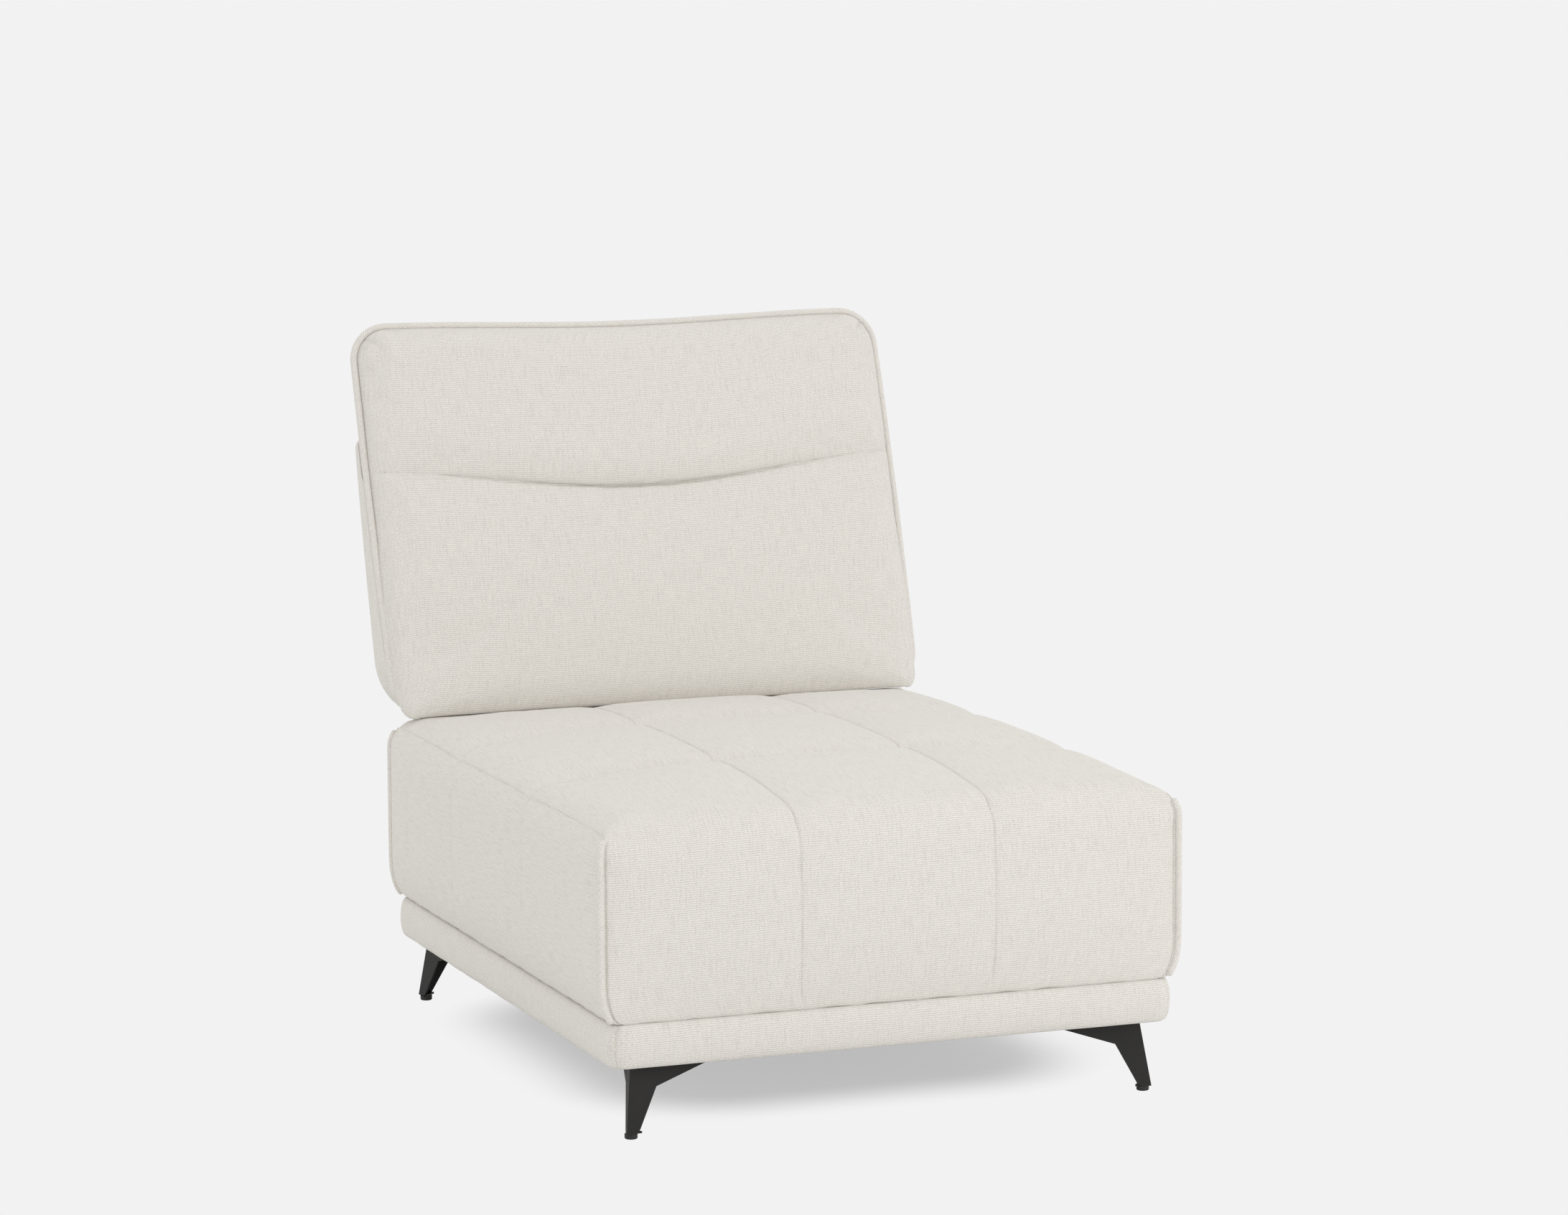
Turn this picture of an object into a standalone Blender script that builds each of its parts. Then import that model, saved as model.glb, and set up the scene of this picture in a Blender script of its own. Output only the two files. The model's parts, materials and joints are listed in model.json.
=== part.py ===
"""Armless reclining chair: tufted seat on a timber box frame, raked back on two
recline hinges, and a headrest on two ratchet hinges.

Metres, +Z up, the front faces -Y. The back is modelled upright in its own frame,
where x runs across, y is the depth behind the piped edge and z is the height up
the back; the back_pivot empty then leans it by BACK_RAKE about the recline axis.
"""

import math

import bmesh
import bpy
from mathutils import Matrix, Vector

# Fits
GAP = 0.0003                 # between pieces that lie against each other
RUNNING_GAP = 0.0008         # between pieces that turn past each other
HOLE_CLEARANCE = 0.0004      # on the radius, round a bolt or a stem
SOFT_GAP = 0.002             # round hard pieces inside padding
FLUSH_STEP = 0.0002          # keeps two nearly level faces of one welded piece apart
CUT_PAST = 0.020             # how far a cutting tool runs past what it cuts

# Seat, measured at the parting line between the seat block and the base band
SEAT_WIDTH = 0.773
SEAT_LENGTH = 0.941
SIDE_BULGE = 0.022
FRONT_BULGE = 0.002
TUCK_HEIGHT = 0.058          # over which the seat's foot draws in to the parting line
SEAT_FACE_HEIGHT = 0.258     # parting line to the top plane at the edges
SEAT_CROWN = 0.020
SECTION_PUFF = 0.0085         # how far each stitched section swells above the cover's line
SEAT_EDGE_RADIUS = 0.050
CORNER_SQUARENESS = 8
CORNER_STEPS = (0.3, 0.6, 1.0)
CHANNELS = 3
CHANNEL_DEPTH = 0.010
CHANNEL_SPREAD = 0.016
WELT_RADIUS = 0.0042
WELT_TOP_TURN = math.radians(33)  # how far the welts follow the corners over at their tops

# Base
LEG_HEIGHT = 0.098           # floor to the underside of the band
BAND_HEIGHT = 0.0555
BAND_BULGE = 0.011
PAD_THICKNESS = 0.014        # padding outside the frame at the parting line
BOARD_THICKNESS = 0.018
BOARD_LIFT = 0.0036          # the boards' lower edges above the band's
FRAME_HEIGHT = 0.1384
BLOCK_SIDE = 0.100
BLOCK_HEIGHT = 0.060
SLAT_WIDTH = 0.070
SLAT_THICKNESS = 0.020
DUST_COVER_THICKNESS = 0.0012
DUST_COVER_INSET = 0.006
DUST_COVER_CORNER = 0.170

# Springs
SPRING_COUNT = 4
SPRING_WIRE_RADIUS = 0.0019
SPRING_HALF_WIDTH = 0.024
SPRING_BENDS = 16
SPRING_SPACING = 0.165
SPRING_END_OVERLAP = 0.011

# Legs
PLATE_THICKNESS = 0.003
LEG_INSET_X = 0.0269
LEG_INSET_Y = 0.0245
LEG_SPLAY_X = 0.0118
LEG_SPLAY_Y = 0.0177
END_WING_TURN = math.radians(5)
SIDE_WING_TURN = math.radians(13)
WING_TIP = 0.115
WING_TIP_DROP = 0.0077
WING_NOTCH_WIDTH = 0.039
WING_NOTCH_DROP = 0.0337
WING_FOOT_WIDTH = 0.0191
WING_FOOT_ROUND = 0.006
TOP_PLATE_REACH = 0.078
FOOT_PLATE_REACH = 0.020
BOLT_REACH = 0.045
BOLT_RADIUS = 0.004
BOLT_LENGTH = 0.040
BOLT_HEAD_RADIUS = 0.0075
BOLT_HEAD_HEIGHT = 0.0053
GLIDE_RADIUS = 0.0085
GLIDE_HEIGHT = 0.0063
GLIDE_STEM_RADIUS = 0.002
GLIDE_STEM_LENGTH = 0.006
GLIDE_REACH = 0.0125

# Back
BACK_RAKE = math.radians(19.6)
BACK_FOOT_SETBACK = 0.0279   # lower end of the piped edge, in from the seat's rear parting line
BACK_HOVER = 0.0075          # and above the seat's top plane
BACK_HEIGHT = 0.588
BACK_WIDTH_LOW = 0.818
BACK_WIDTH_HIGH = 0.826
PIPING_RADIUS = 0.0052
BACK_CORNER_RADIUS = 0.050
TOP_SAG = 0.008              # how far the back's top edge sags to its middle
TOP_SPANS = 5                # straight runs of the top piping from its middle to a corner
CUSHION_DEPTH = 0.030
CUSHION_EDGE_RADIUS = 0.026
BACK_CROWN = 0.017
BACK_BOARD_THICKNESS = 0.015
BACK_BOARD_INSET = 0.035
BACK_BOARD_LOW = 0.030
BACK_BOARD_DROP = 0.0475     # from the smile seam's ends down to the board's upper edge
BOARD_FACE = 0.003           # depth of both boards' front faces behind the piped edge
HOUSING_SPREAD = 0.002       # how far the rear padding stands out beside the piping
HOUSING_LOW = 0.008
HOUSING_LAP = 0.0585         # how far the housing reaches above the smile seam's ends
HOUSING_DEPTH_LOW = 0.075
HOUSING_DEPTH_HIGH = 0.031
HOUSING_EDGE_RADIUS = 0.011
HOUSING_CORNER_RADIUS = 0.085

# Smile seam and headrest
SEAM_HEIGHT = 0.3615
SEAM_SAG = 0.0385
SEAM_SPAN = 1.125            # half period of the smile, in half widths
SEAM_GAP = 0.006
HEADREST_TILT = math.radians(25)
SEAM_VALLEY = 0.7 * math.sin(HEADREST_TILT)  # the fold's slope; the edges' rounding opens it further
HEADREST_BOARD_THICKNESS = 0.010
HEADREST_BOARD_DROP = 0.0035  # from the smile seam's ends down to the board's lower edge
HEADREST_BOARD_TOP = 0.033   # from the back's top down to the board's upper edge
HEADREST_PAD_DEPTH = 0.019
HEADREST_PAD_LIFT = 0.0025   # from the smile seam's ends up to the rear pad
HEADREST_PAD_INSET = 0.006
HEADREST_PAD_EDGE_RADIUS = 0.0066
LIP_CLEARANCE = 0.0025
PIPING_FOLD_GAP = 0.0105

# Recline hinges
HINGE_X = 0.220
RECLINE_AXIS_REACH = 0.0295  # behind the seat's rear parting line
RECLINE_AXIS_DROP = 0.0335   # below the seat's top plane
RECLINE_LIMIT = math.radians(25)
HINGE_PLATE_WIDTH = 0.060
HINGE_STEEL = 0.005
HINGE_PLATE_LIFT = 0.0115    # above the parting line
HINGE_ROOT = 0.040           # length of each ear where it leaves its strip
HINGE_EAR_RADIUS = 0.013
HINGE_PIN_RADIUS = 0.005
HINGE_PIN_HEAD_RADIUS = 0.009
HINGE_PIN_HEAD = 0.004
HINGE_BOSS_RADIUS = 0.007
HINGE_BOSS_SPACING = 0.045
HINGE_BOSS_INSET = 0.015     # lower boss, up from the plate's lower edge
HINGE_ARM_WIDTH = 0.040
HINGE_ARM_HIGH = 0.200

# Headrest ratchets
RATCHET_X = 0.200
RATCHET_AXIS_DEPTH = 0.0115
RATCHET_AXIS_DROP = 0.0215   # below the smile seam's ends
RATCHET_STEEL = 0.003
RATCHET_EAR_RADIUS = 0.008
RATCHET_STRIP_WIDTH = 0.028
RATCHET_BODY_REACH = 0.079   # down the back's board
RATCHET_ROOT = 0.012         # how far the body's strip stands above its board
RATCHET_ARM_REACH = 0.082    # up the headrest's board
RATCHET_PIN_RADIUS = 0.003
RATCHET_PIN_HEAD_RADIUS = 0.006
RATCHET_PIN_HEAD = 0.0025

# Heights and half sizes that follow
PARTING_Z = LEG_HEIGHT + BAND_HEIGHT
SEAT_TOP_Z = PARTING_Z + SEAT_FACE_HEIGHT
FRAME_LOW_Z = LEG_HEIGHT + BOARD_LIFT
FRAME_TOP_Z = FRAME_LOW_Z + FRAME_HEIGHT
SPRING_Z = FRAME_TOP_Z + GAP + SPRING_WIRE_RADIUS
CUSHION_LOW_Z = SPRING_Z + SPRING_WIRE_RADIUS + GAP
SEAT_HALF_X = SEAT_WIDTH / 2
SEAT_HALF_Y = SEAT_LENGTH / 2
FULL_HALF_X = SEAT_HALF_X + SIDE_BULGE
FULL_HALF_Y = SEAT_HALF_Y + FRONT_BULGE
FRAME_HALF_X = SEAT_HALF_X - PAD_THICKNESS
FRAME_HALF_Y = SEAT_HALF_Y - PAD_THICKNESS
HALF_LOW = BACK_WIDTH_LOW / 2
HALF_HIGH = BACK_WIDTH_HIGH / 2
BOARD_HALF = min(HALF_LOW, HALF_HIGH) - BACK_BOARD_INSET
BACK_FOOT_Y = SEAT_HALF_Y - BACK_FOOT_SETBACK
BACK_FOOT_Z = SEAT_TOP_Z + BACK_HOVER
RECLINE_AXIS_Y = SEAT_HALF_Y + RECLINE_AXIS_REACH
RECLINE_AXIS_Z = SEAT_TOP_Z - RECLINE_AXIS_DROP
HINGE_PLATE_LOW = PARTING_Z + HINGE_PLATE_LIFT
HINGE_BOSS_LOW = HINGE_PLATE_LOW + HINGE_BOSS_INSET
BACK_BOARD_HIGH = SEAM_HEIGHT - BACK_BOARD_DROP
HOUSING_HIGH = SEAM_HEIGHT + HOUSING_LAP
HEADREST_BOARD_LOW = SEAM_HEIGHT - HEADREST_BOARD_DROP
HEADREST_BOARD_HIGH = BACK_HEIGHT - HEADREST_BOARD_TOP
HEADREST_PAD_LOW = SEAM_HEIGHT + HEADREST_PAD_LIFT
RATCHET_AXIS_HEIGHT = SEAM_HEIGHT - RATCHET_AXIS_DROP
RATCHET_BODY_LOW = BACK_BOARD_HIGH - RATCHET_BODY_REACH
RATCHET_ARM_HIGH = HEADREST_BOARD_LOW + RATCHET_ARM_REACH

FABRIC = ("woven_fabric", (0.74, 0.70, 0.63), 0.9, 0.0)
WELT_FABRIC = ("welt_fabric", (0.72, 0.68, 0.61), 0.9, 0.0)
TIMBER = ("pine_timber", (0.60, 0.43, 0.25), 0.65, 0.0)
PLYWOOD = ("birch_plywood", (0.66, 0.50, 0.32), 0.6, 0.0)
BLACK_STEEL = ("black_coated_steel", (0.025, 0.023, 0.021), 0.42, 0.6)
SPRING_STEEL = ("spring_steel", (0.20, 0.20, 0.21), 0.35, 1.0)
ZINC_STEEL = ("zinc_plated_steel", (0.55, 0.55, 0.56), 0.35, 1.0)
GLIDE_PLASTIC = ("glide_plastic", (0.02, 0.02, 0.02), 0.5, 0.0)
LINING = ("lining_cloth", (0.04, 0.04, 0.04), 0.95, 0.0)


def clear_scene():
    for obj in list(bpy.data.objects):
        bpy.data.objects.remove(obj, do_unlink=True)


def new_collection(name):
    collection = bpy.data.collections.new(name)
    bpy.context.scene.collection.children.link(collection)
    return collection


def material(spec):
    name, colour, roughness, metallic = spec
    found = bpy.data.materials.get(name)
    if found:
        return found
    made = bpy.data.materials.new(name)
    made.use_nodes = True
    shader = made.node_tree.nodes["Principled BSDF"]
    shader.inputs["Base Color"].default_value = (*colour, 1)
    shader.inputs["Roughness"].default_value = roughness
    shader.inputs["Metallic"].default_value = metallic
    made.diffuse_color = (*colour, 1)
    return made


def new_empty(name, location, parent=None, lean=0.0):
    empty = bpy.data.objects.new(name, None)
    empty.location = location
    empty.rotation_euler.x = lean
    empty.parent = parent
    parts.objects.link(empty)
    return empty


def place(name, bm, spec, parent, smooth=False):
    """Turns a bmesh into a part: a named object with its material, under its joint's empty."""
    bmesh.ops.recalc_face_normals(bm, faces=bm.faces)
    mesh = bpy.data.meshes.new(name)
    bm.to_mesh(mesh)
    bm.free()
    if smooth:
        mesh.shade_smooth()
        mesh.set_sharp_from_angle(angle=math.radians(40))
    mesh.materials.append(material(spec))
    obj = bpy.data.objects.new(name, mesh)
    obj.parent = parent
    parts.objects.link(obj)
    return obj


def box(low, high):
    """A cuboid between two corners."""
    bm = bmesh.new()
    bmesh.ops.create_cube(bm, size=1)
    low = Vector(low)
    high = Vector(high)
    bmesh.ops.transform(bm, verts=bm.verts, matrix=Matrix.Diagonal((*(high - low), 1)))
    bmesh.ops.translate(bm, verts=bm.verts, vec=(low + high) / 2)
    return bm


def cylinder(radius, low, high, axis="Z", segments=20):
    """A cylinder round an axis through the origin, between two places along it."""
    bm = bmesh.new()
    bmesh.ops.create_cone(bm, cap_ends=True, segments=segments, radius1=radius, radius2=radius,
                          depth=high - low)
    bmesh.ops.translate(bm, verts=bm.verts, vec=(0, 0, (low + high) / 2))
    if axis == "X":
        bmesh.ops.rotate(bm, verts=bm.verts, matrix=Matrix.Rotation(math.pi / 2, 3, "Y"))
    if axis == "Y":
        bmesh.ops.rotate(bm, verts=bm.verts, matrix=Matrix.Rotation(-math.pi / 2, 3, "X"))
    return bm


def moved(bm, offset):
    bmesh.ops.translate(bm, verts=bm.verts, vec=offset)
    return bm


def combine(target, tool, operation):
    """Joins or cuts a part with a bmesh, and applies the result."""
    mesh = bpy.data.meshes.new("tool")
    bmesh.ops.recalc_face_normals(tool, faces=tool.faces)
    tool.to_mesh(mesh)
    tool.free()
    helper = bpy.data.objects.new("tool", mesh)
    helper.hide_render = True
    helper.display_type = "WIRE"
    helper.parent = target.parent
    cutters.objects.link(helper)
    modifier = target.modifiers.new(operation.title(), "BOOLEAN")
    modifier.operation = operation
    modifier.object = helper
    bpy.context.view_layer.update()
    graph = bpy.context.evaluated_depsgraph_get()
    result = bpy.data.meshes.new_from_object(target.evaluated_get(graph))
    target.modifiers.remove(modifier)
    old = target.data
    target.data = result
    bpy.data.meshes.remove(old)
    bpy.data.objects.remove(helper, do_unlink=True)
    bpy.data.meshes.remove(mesh)


def tube(name, points, radius, spec, parent, sides=1):
    """A round bar along a run of points, made a mesh with its end caps welded."""
    curve = bpy.data.curves.new(name, "CURVE")
    curve.dimensions = "3D"
    curve.bevel_depth = radius
    curve.bevel_resolution = sides
    curve.use_fill_caps = True
    spline = curve.splines.new("POLY")
    spline.points.add(len(points) - 1)
    for point, place_at in zip(spline.points, points):
        point.co = (*place_at, 1)
    guide = bpy.data.objects.new(name + "_path", curve)
    cutters.objects.link(guide)
    bpy.context.view_layer.update()
    graph = bpy.context.evaluated_depsgraph_get()
    mesh = bpy.data.meshes.new_from_object(guide.evaluated_get(graph))
    bm = bmesh.new()
    bm.from_mesh(mesh)
    bmesh.ops.remove_doubles(bm, verts=bm.verts, dist=0.00005)
    bpy.data.objects.remove(guide, do_unlink=True)
    bpy.data.meshes.remove(mesh)
    return place(name, bm, spec, parent, smooth=True)


def grid_box(low, high, cuts):
    """A cuboid whose faces are divided where the three lists of cuts say."""
    bm = box(low, high)
    for axis, places in enumerate(cuts):
        normal = Vector((0, 0, 0))
        normal[axis] = 1
        for at in places:
            if low[axis] + 0.0004 < at < high[axis] - 0.0004:
                point = Vector((0, 0, 0))
                point[axis] = at
                bmesh.ops.bisect_plane(bm, geom=bm.verts[:] + bm.edges[:] + bm.faces[:],
                                       plane_co=point, plane_no=normal, dist=0.00001)
    return bm


def merge_flat_face(bm, axis, at):
    """Makes one face of the divided faces that lie in a plane."""
    flat = [face for face in bm.faces
            if all(abs(vert.co[axis] - at) < 0.00001 for vert in face.verts)]
    if len(flat) > 1:
        bmesh.ops.dissolve_faces(bm, faces=flat)


def edge_cuts(low, high, radius, inner):
    """Places to divide a side whose ends are rounded, with a number of plain spans between."""
    steps = (0.12, 0.32, 0.62, 1.0)
    places = [low + radius * step for step in steps] + [high - radius * step for step in steps]
    span = (high - low - 2 * radius) / inner
    return places + [low + radius + span * number for number in range(1, inner)]


def channel_places(half):
    """Where the stitched channel lines cross a side of this half length."""
    return [half * (2 * number / CHANNELS - 1) for number in range(1, CHANNELS)]


def channel_cuts(half):
    offsets = (-2.2, -0.9, 0, 0.9, 2.2)
    return [line + CHANNEL_SPREAD * offset for line in channel_places(half) for offset in offsets]


def channel_depth(at, half):
    """How far the cover is drawn in beside a channel line."""
    return CHANNEL_DEPTH * sum(math.exp(-((at - line) / CHANNEL_SPREAD) ** 2)
                               for line in channel_places(half))


def section_swell(x, y):
    """0 on the channel lines and the cover's corners, 1 in the middle of a stitched section."""
    rise = 1
    corner = 1
    for at, half in ((x, FULL_HALF_X), (y, FULL_HALF_Y)):
        part_way = min(1, abs(at) / half) * CHANNELS
        inner = math.cos(min(1, part_way) * math.pi / 2)
        outer = math.sin(min(1, max(0, part_way - 1)) * math.pi / 2)
        rise *= math.sqrt(max(inner, outer))
        corner *= max(0, part_way - 1) / (CHANNELS - 1)
    return rise * (1 - corner)


def seat_tuck(z):
    """0 at the parting line and 1 above the foot, along a quarter ellipse."""
    rise = min(1, max(0, (z - PARTING_Z) / TUCK_HEIGHT))
    return math.sqrt(1 - (1 - rise) ** 2)


def square_round(away_x, away_y):
    """Scale that draws a square corner in, from the distances past the rounded core."""
    power = CORNER_SQUARENESS
    return (away_x ** power + away_y ** power) ** (1 / power)


def seat_skin(point, channels=1.0):
    """Moves a point of the seat's bounding cuboid to the soft cover; channels fades their depth."""
    radius = SEAT_EDGE_RADIUS
    away_x = max(0, abs(point.x) - FULL_HALF_X + radius)
    away_y = max(0, abs(point.y) - FULL_HALF_Y + radius)
    away_z = max(0, point.z - SEAT_TOP_Z + radius)
    level = square_round(away_x, away_y)
    reach = math.hypot(level, away_z)
    outer = max(away_x, away_y, away_z)
    if reach < 1e-9:
        return point.copy()
    scale = outer / reach
    side_x = math.copysign(1, point.x)
    side_y = math.copysign(1, point.y)
    core = Vector((point.x - side_x * away_x, point.y - side_y * away_y, point.z - away_z))
    way = Vector((side_x * away_x, side_y * away_y, away_z)) * scale
    normal = way.normalized()
    over_x = channel_depth(point.x, FULL_HALF_X) * (1 - abs(normal.x)) ** 2
    over_y = channel_depth(point.y, FULL_HALF_Y) * (1 - abs(normal.y)) ** 2
    drawn = channels * max(over_x, over_y) * min(1, outer / radius) ** 4
    crown = (1 - (point.x / FULL_HALF_X) ** 2) * (1 - (point.y / FULL_HALF_Y) ** 2)
    lifted = SEAT_CROWN * crown * min(1, away_z / radius)
    swell = SECTION_PUFF * section_swell(point.x, point.y) * max(0, normal.z)
    return core + way + normal * (swell - drawn) + Vector((0, 0, lifted))


def make_seat_cushion(base):
    low = (-FULL_HALF_X, -FULL_HALF_Y, CUSHION_LOW_Z)
    high = (FULL_HALF_X, FULL_HALF_Y, SEAT_TOP_Z)
    across = edge_cuts(low[0], high[0], SEAT_EDGE_RADIUS, 4) + channel_cuts(FULL_HALF_X)
    along = edge_cuts(low[1], high[1], SEAT_EDGE_RADIUS, 4) + channel_cuts(FULL_HALF_Y)
    rises = [SEAT_TOP_Z - SEAT_EDGE_RADIUS * step for step in (0.15, 0.45, 1.0)]
    bm = grid_box(low, high, (across, along, rises))
    merge_flat_face(bm, 2, CUSHION_LOW_Z)
    for vert in bm.verts:
        at_foot = vert.co.z < CUSHION_LOW_Z + 0.00001
        vert.co = seat_skin(vert.co)
        if at_foot:
            vert.co.z = CUSHION_LOW_Z
    return place("seat_cushion", bm, FABRIC, base, smooth=True)


def corner_draw():
    """How far the cover's vertical corners lie inside the corners of its bounding box."""
    return SEAT_EDGE_RADIUS * (1 - 1 / square_round(1, 1))


def pad_skin(point):
    """The cover's side below the cushion, drawn in to the parting line at its foot."""
    tuck = seat_tuck(point.z - GAP)
    skin = seat_skin(point, tuck)
    skin.x *= (SEAT_HALF_X + SIDE_BULGE * tuck) / FULL_HALF_X
    skin.y *= (SEAT_HALF_Y + FRONT_BULGE * tuck) / FULL_HALF_Y
    return skin


def make_seat_pad(name, turn, half_run, half_out, frame_out, frame_run, base):
    """The padded side below the cushion, with mitred ends; turn swings the front pad round."""
    low_z = PARTING_Z + GAP
    inner = -frame_out - GAP
    bm = grid_box((-half_run, -half_out, low_z), (half_run, inner, CUSHION_LOW_Z - GAP),
                  (edge_cuts(-half_run, half_run, SEAT_EDGE_RADIUS, 2) + channel_cuts(half_run), [],
                   [low_z + TUCK_HEIGHT * step for step in (0.1, 0.35, 1.0)]))
    swing = Matrix.Rotation(turn, 3, "Z")
    for vert in bm.verts:
        if vert.co.y < inner - 0.00001:
            vert.co = swing.transposed() @ pad_skin(swing @ vert.co)
    reach = Vector((half_run - frame_run, half_out - frame_out)) - Vector((1, 1)) * corner_draw()
    mitre_ends(bm, frame_run, inner, reach)
    bmesh.ops.rotate(bm, verts=bm.verts, matrix=swing)
    return place(name, bm, FABRIC, base, smooth=True)


def make_seat_pads(base):
    for name, turn in (("front", 0), ("rear", math.pi)):
        make_seat_pad("seat_pad_" + name, turn, FULL_HALF_X, FULL_HALF_Y, FRAME_HALF_Y,
                      FRAME_HALF_X, base)
    for name, turn in (("left", -math.pi / 2), ("right", math.pi / 2)):
        make_seat_pad("seat_pad_" + name, turn, FULL_HALF_Y, FULL_HALF_X, FRAME_HALF_X,
                      FRAME_HALF_Y, base)


def corner_edge(z):
    """The cover's front right vertical corner at a height; it rounds over at its top."""
    turn = math.asin(min(1, max(0, z - SEAT_TOP_Z + SEAT_EDGE_RADIUS) / SEAT_EDGE_RADIUS))
    drawn = SEAT_EDGE_RADIUS - (SEAT_EDGE_RADIUS - corner_draw()) * math.cos(turn)
    tuck = seat_tuck(z)
    return Vector((SEAT_HALF_X + SIDE_BULGE * tuck - drawn, SEAT_HALF_Y + FRONT_BULGE * tuck - drawn, z))


def welt_point(z, side_x, side_y):
    """The welt's centre, set out square from the cover's corner."""
    step = 0.0005
    along = (corner_edge(z + step) - corner_edge(z - step)).normalized()
    out = Vector((1, 1, 0)).normalized()
    out = (out - along * out.dot(along)).normalized()
    at = corner_edge(z) + out * (WELT_RADIUS + 2 * GAP)
    return (side_x * at.x, side_y * at.y, at.z)


def make_corner_welts(base):
    low = PARTING_Z + 2.4 * WELT_RADIUS
    high = SEAT_TOP_Z - SEAT_EDGE_RADIUS * (1 - math.sin(WELT_TOP_TURN))
    heights = [low + (high - low) * step for step in (0, 0.03, 0.08, 0.15, 0.25, 0.5, 0.8, 0.88, 0.95, 1)]
    for name, side_x, side_y in CORNERS:
        points = [welt_point(z, side_x, side_y) for z in heights]
        tube("corner_welt_" + name, points, WELT_RADIUS, WELT_FABRIC, base)


def make_base_band(name, turn, half_run, half_out, frame_out, frame_run, base):
    """A padded strip round the frame's foot: flat inside, bulging outside, mitred at its ends."""
    low_z = LEG_HEIGHT
    high_z = PARTING_Z - GAP
    middle = (low_z + high_z) / 2
    half_height = (high_z - low_z) / 2
    inner = -frame_out - GAP
    steps = (0.94, 0.8, 0.55, 0.2)
    heights = [middle + half_height * step * way for step in steps for way in (-1, 1)]
    bm = grid_box((-half_run - BAND_BULGE, -half_out, low_z), (half_run + BAND_BULGE, inner, high_z),
                  ([], [], heights))
    for vert in bm.verts:
        if vert.co.y < inner - 0.00001:
            bulge = BAND_BULGE * math.sqrt(max(0, 1 - ((vert.co.z - middle) / half_height) ** 2))
            vert.co.y -= bulge
            vert.co.x += math.copysign(bulge - BAND_BULGE, vert.co.x)
    mitre_ends(bm, frame_run, inner, (1, 1))
    bmesh.ops.rotate(bm, verts=bm.verts, matrix=Matrix.Rotation(turn, 3, "Z"))
    return place(name, bm, FABRIC, base, smooth=True)


def make_base_bands(base):
    for name, turn in (("front", 0), ("rear", math.pi)):
        make_base_band("base_band_" + name, turn, SEAT_HALF_X, SEAT_HALF_Y, FRAME_HALF_Y,
                       FRAME_HALF_X, base)
    for name, turn in (("left", -math.pi / 2), ("right", math.pi / 2)):
        make_base_band("base_band_" + name, turn, SEAT_HALF_Y, SEAT_HALF_X, FRAME_HALF_X,
                       FRAME_HALF_Y, base)


def make_frame(base):
    inside_y = FRAME_HALF_Y - BOARD_THICKNESS
    inside_x = FRAME_HALF_X - BOARD_THICKNESS
    for name, side in (("front", -1), ("rear", 1)):
        near, far = sorted((side * inside_y, side * FRAME_HALF_Y))
        bm = box((-FRAME_HALF_X, near, FRAME_LOW_Z), (FRAME_HALF_X, far, FRAME_TOP_Z))
        place("frame_board_" + name, bm, PLYWOOD, base)
    for name, side in (("left", -1), ("right", 1)):
        near, far = sorted((side * inside_x, side * FRAME_HALF_X))
        bm = box((near, -inside_y + GAP, FRAME_LOW_Z), (far, inside_y - GAP, FRAME_TOP_Z))
        place("frame_board_" + name, bm, PLYWOOD, base)
    slat_low = FRAME_LOW_Z + BLOCK_HEIGHT / 2
    bm = box((-inside_x + GAP, -SLAT_WIDTH / 2, slat_low),
             (inside_x - GAP, SLAT_WIDTH / 2, slat_low + SLAT_THICKNESS))
    place("cross_slat", bm, TIMBER, base)
    for name, side_x, side_y in CORNERS:
        make_corner_block(name, side_x, side_y, inside_x - GAP, inside_y - GAP, base)


def bolt_place(side_x, side_y):
    """The leg bolt's axis, on the corner's diagonal in from the fold's top."""
    reach = BOLT_REACH / math.sqrt(2)
    return Vector((side_x * (SEAT_HALF_X - LEG_INSET_X - reach),
                   side_y * (SEAT_HALF_Y - LEG_INSET_Y - reach), 0))


def make_corner_block(name, side_x, side_y, corner_x, corner_y, base):
    low = (min(side_x * corner_x, side_x * (corner_x - BLOCK_SIDE)),
           min(side_y * corner_y, side_y * (corner_y - BLOCK_SIDE)), FRAME_LOW_Z)
    high = (low[0] + BLOCK_SIDE, low[1] + BLOCK_SIDE, FRAME_LOW_Z + BLOCK_HEIGHT)
    bm = box(low, high)
    middle = Vector(((low[0] + high[0]) / 2, (low[1] + high[1]) / 2, 0))
    cut_off(bm, middle, Vector((-side_x, -side_y, 0)))
    block = place("corner_block_" + name, bm, TIMBER, base)
    drill = cylinder(BOLT_RADIUS + HOLE_CLEARANCE, FRAME_LOW_Z - CUT_PAST,
                     FRAME_LOW_Z + BLOCK_HEIGHT + CUT_PAST)
    combine(block, moved(drill, bolt_place(side_x, side_y)), "DIFFERENCE")


def cut_off(bm, point, normal):
    """Removes what lies past a plane, and closes the cut."""
    cut = bmesh.ops.bisect_plane(bm, geom=bm.verts[:] + bm.edges[:] + bm.faces[:], plane_co=point,
                                 plane_no=normal.normalized(), clear_outer=True, dist=0.000001)
    rim = [item for item in cut["geom_cut"] if isinstance(item, bmesh.types.BMEdge)]
    bmesh.ops.contextual_create(bm, geom=rim)


def mitre_ends(bm, frame_run, inner, reach):
    """Cuts both ends of a strip from the frame's corners outward, along a reach (run, out)."""
    for side in (-1, 1):
        outward = Vector((side * reach[1], reach[0], 0)).normalized()
        cut_off(bm, Vector((side * (frame_run + GAP), inner, 0)) - outward * GAP, outward)


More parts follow.
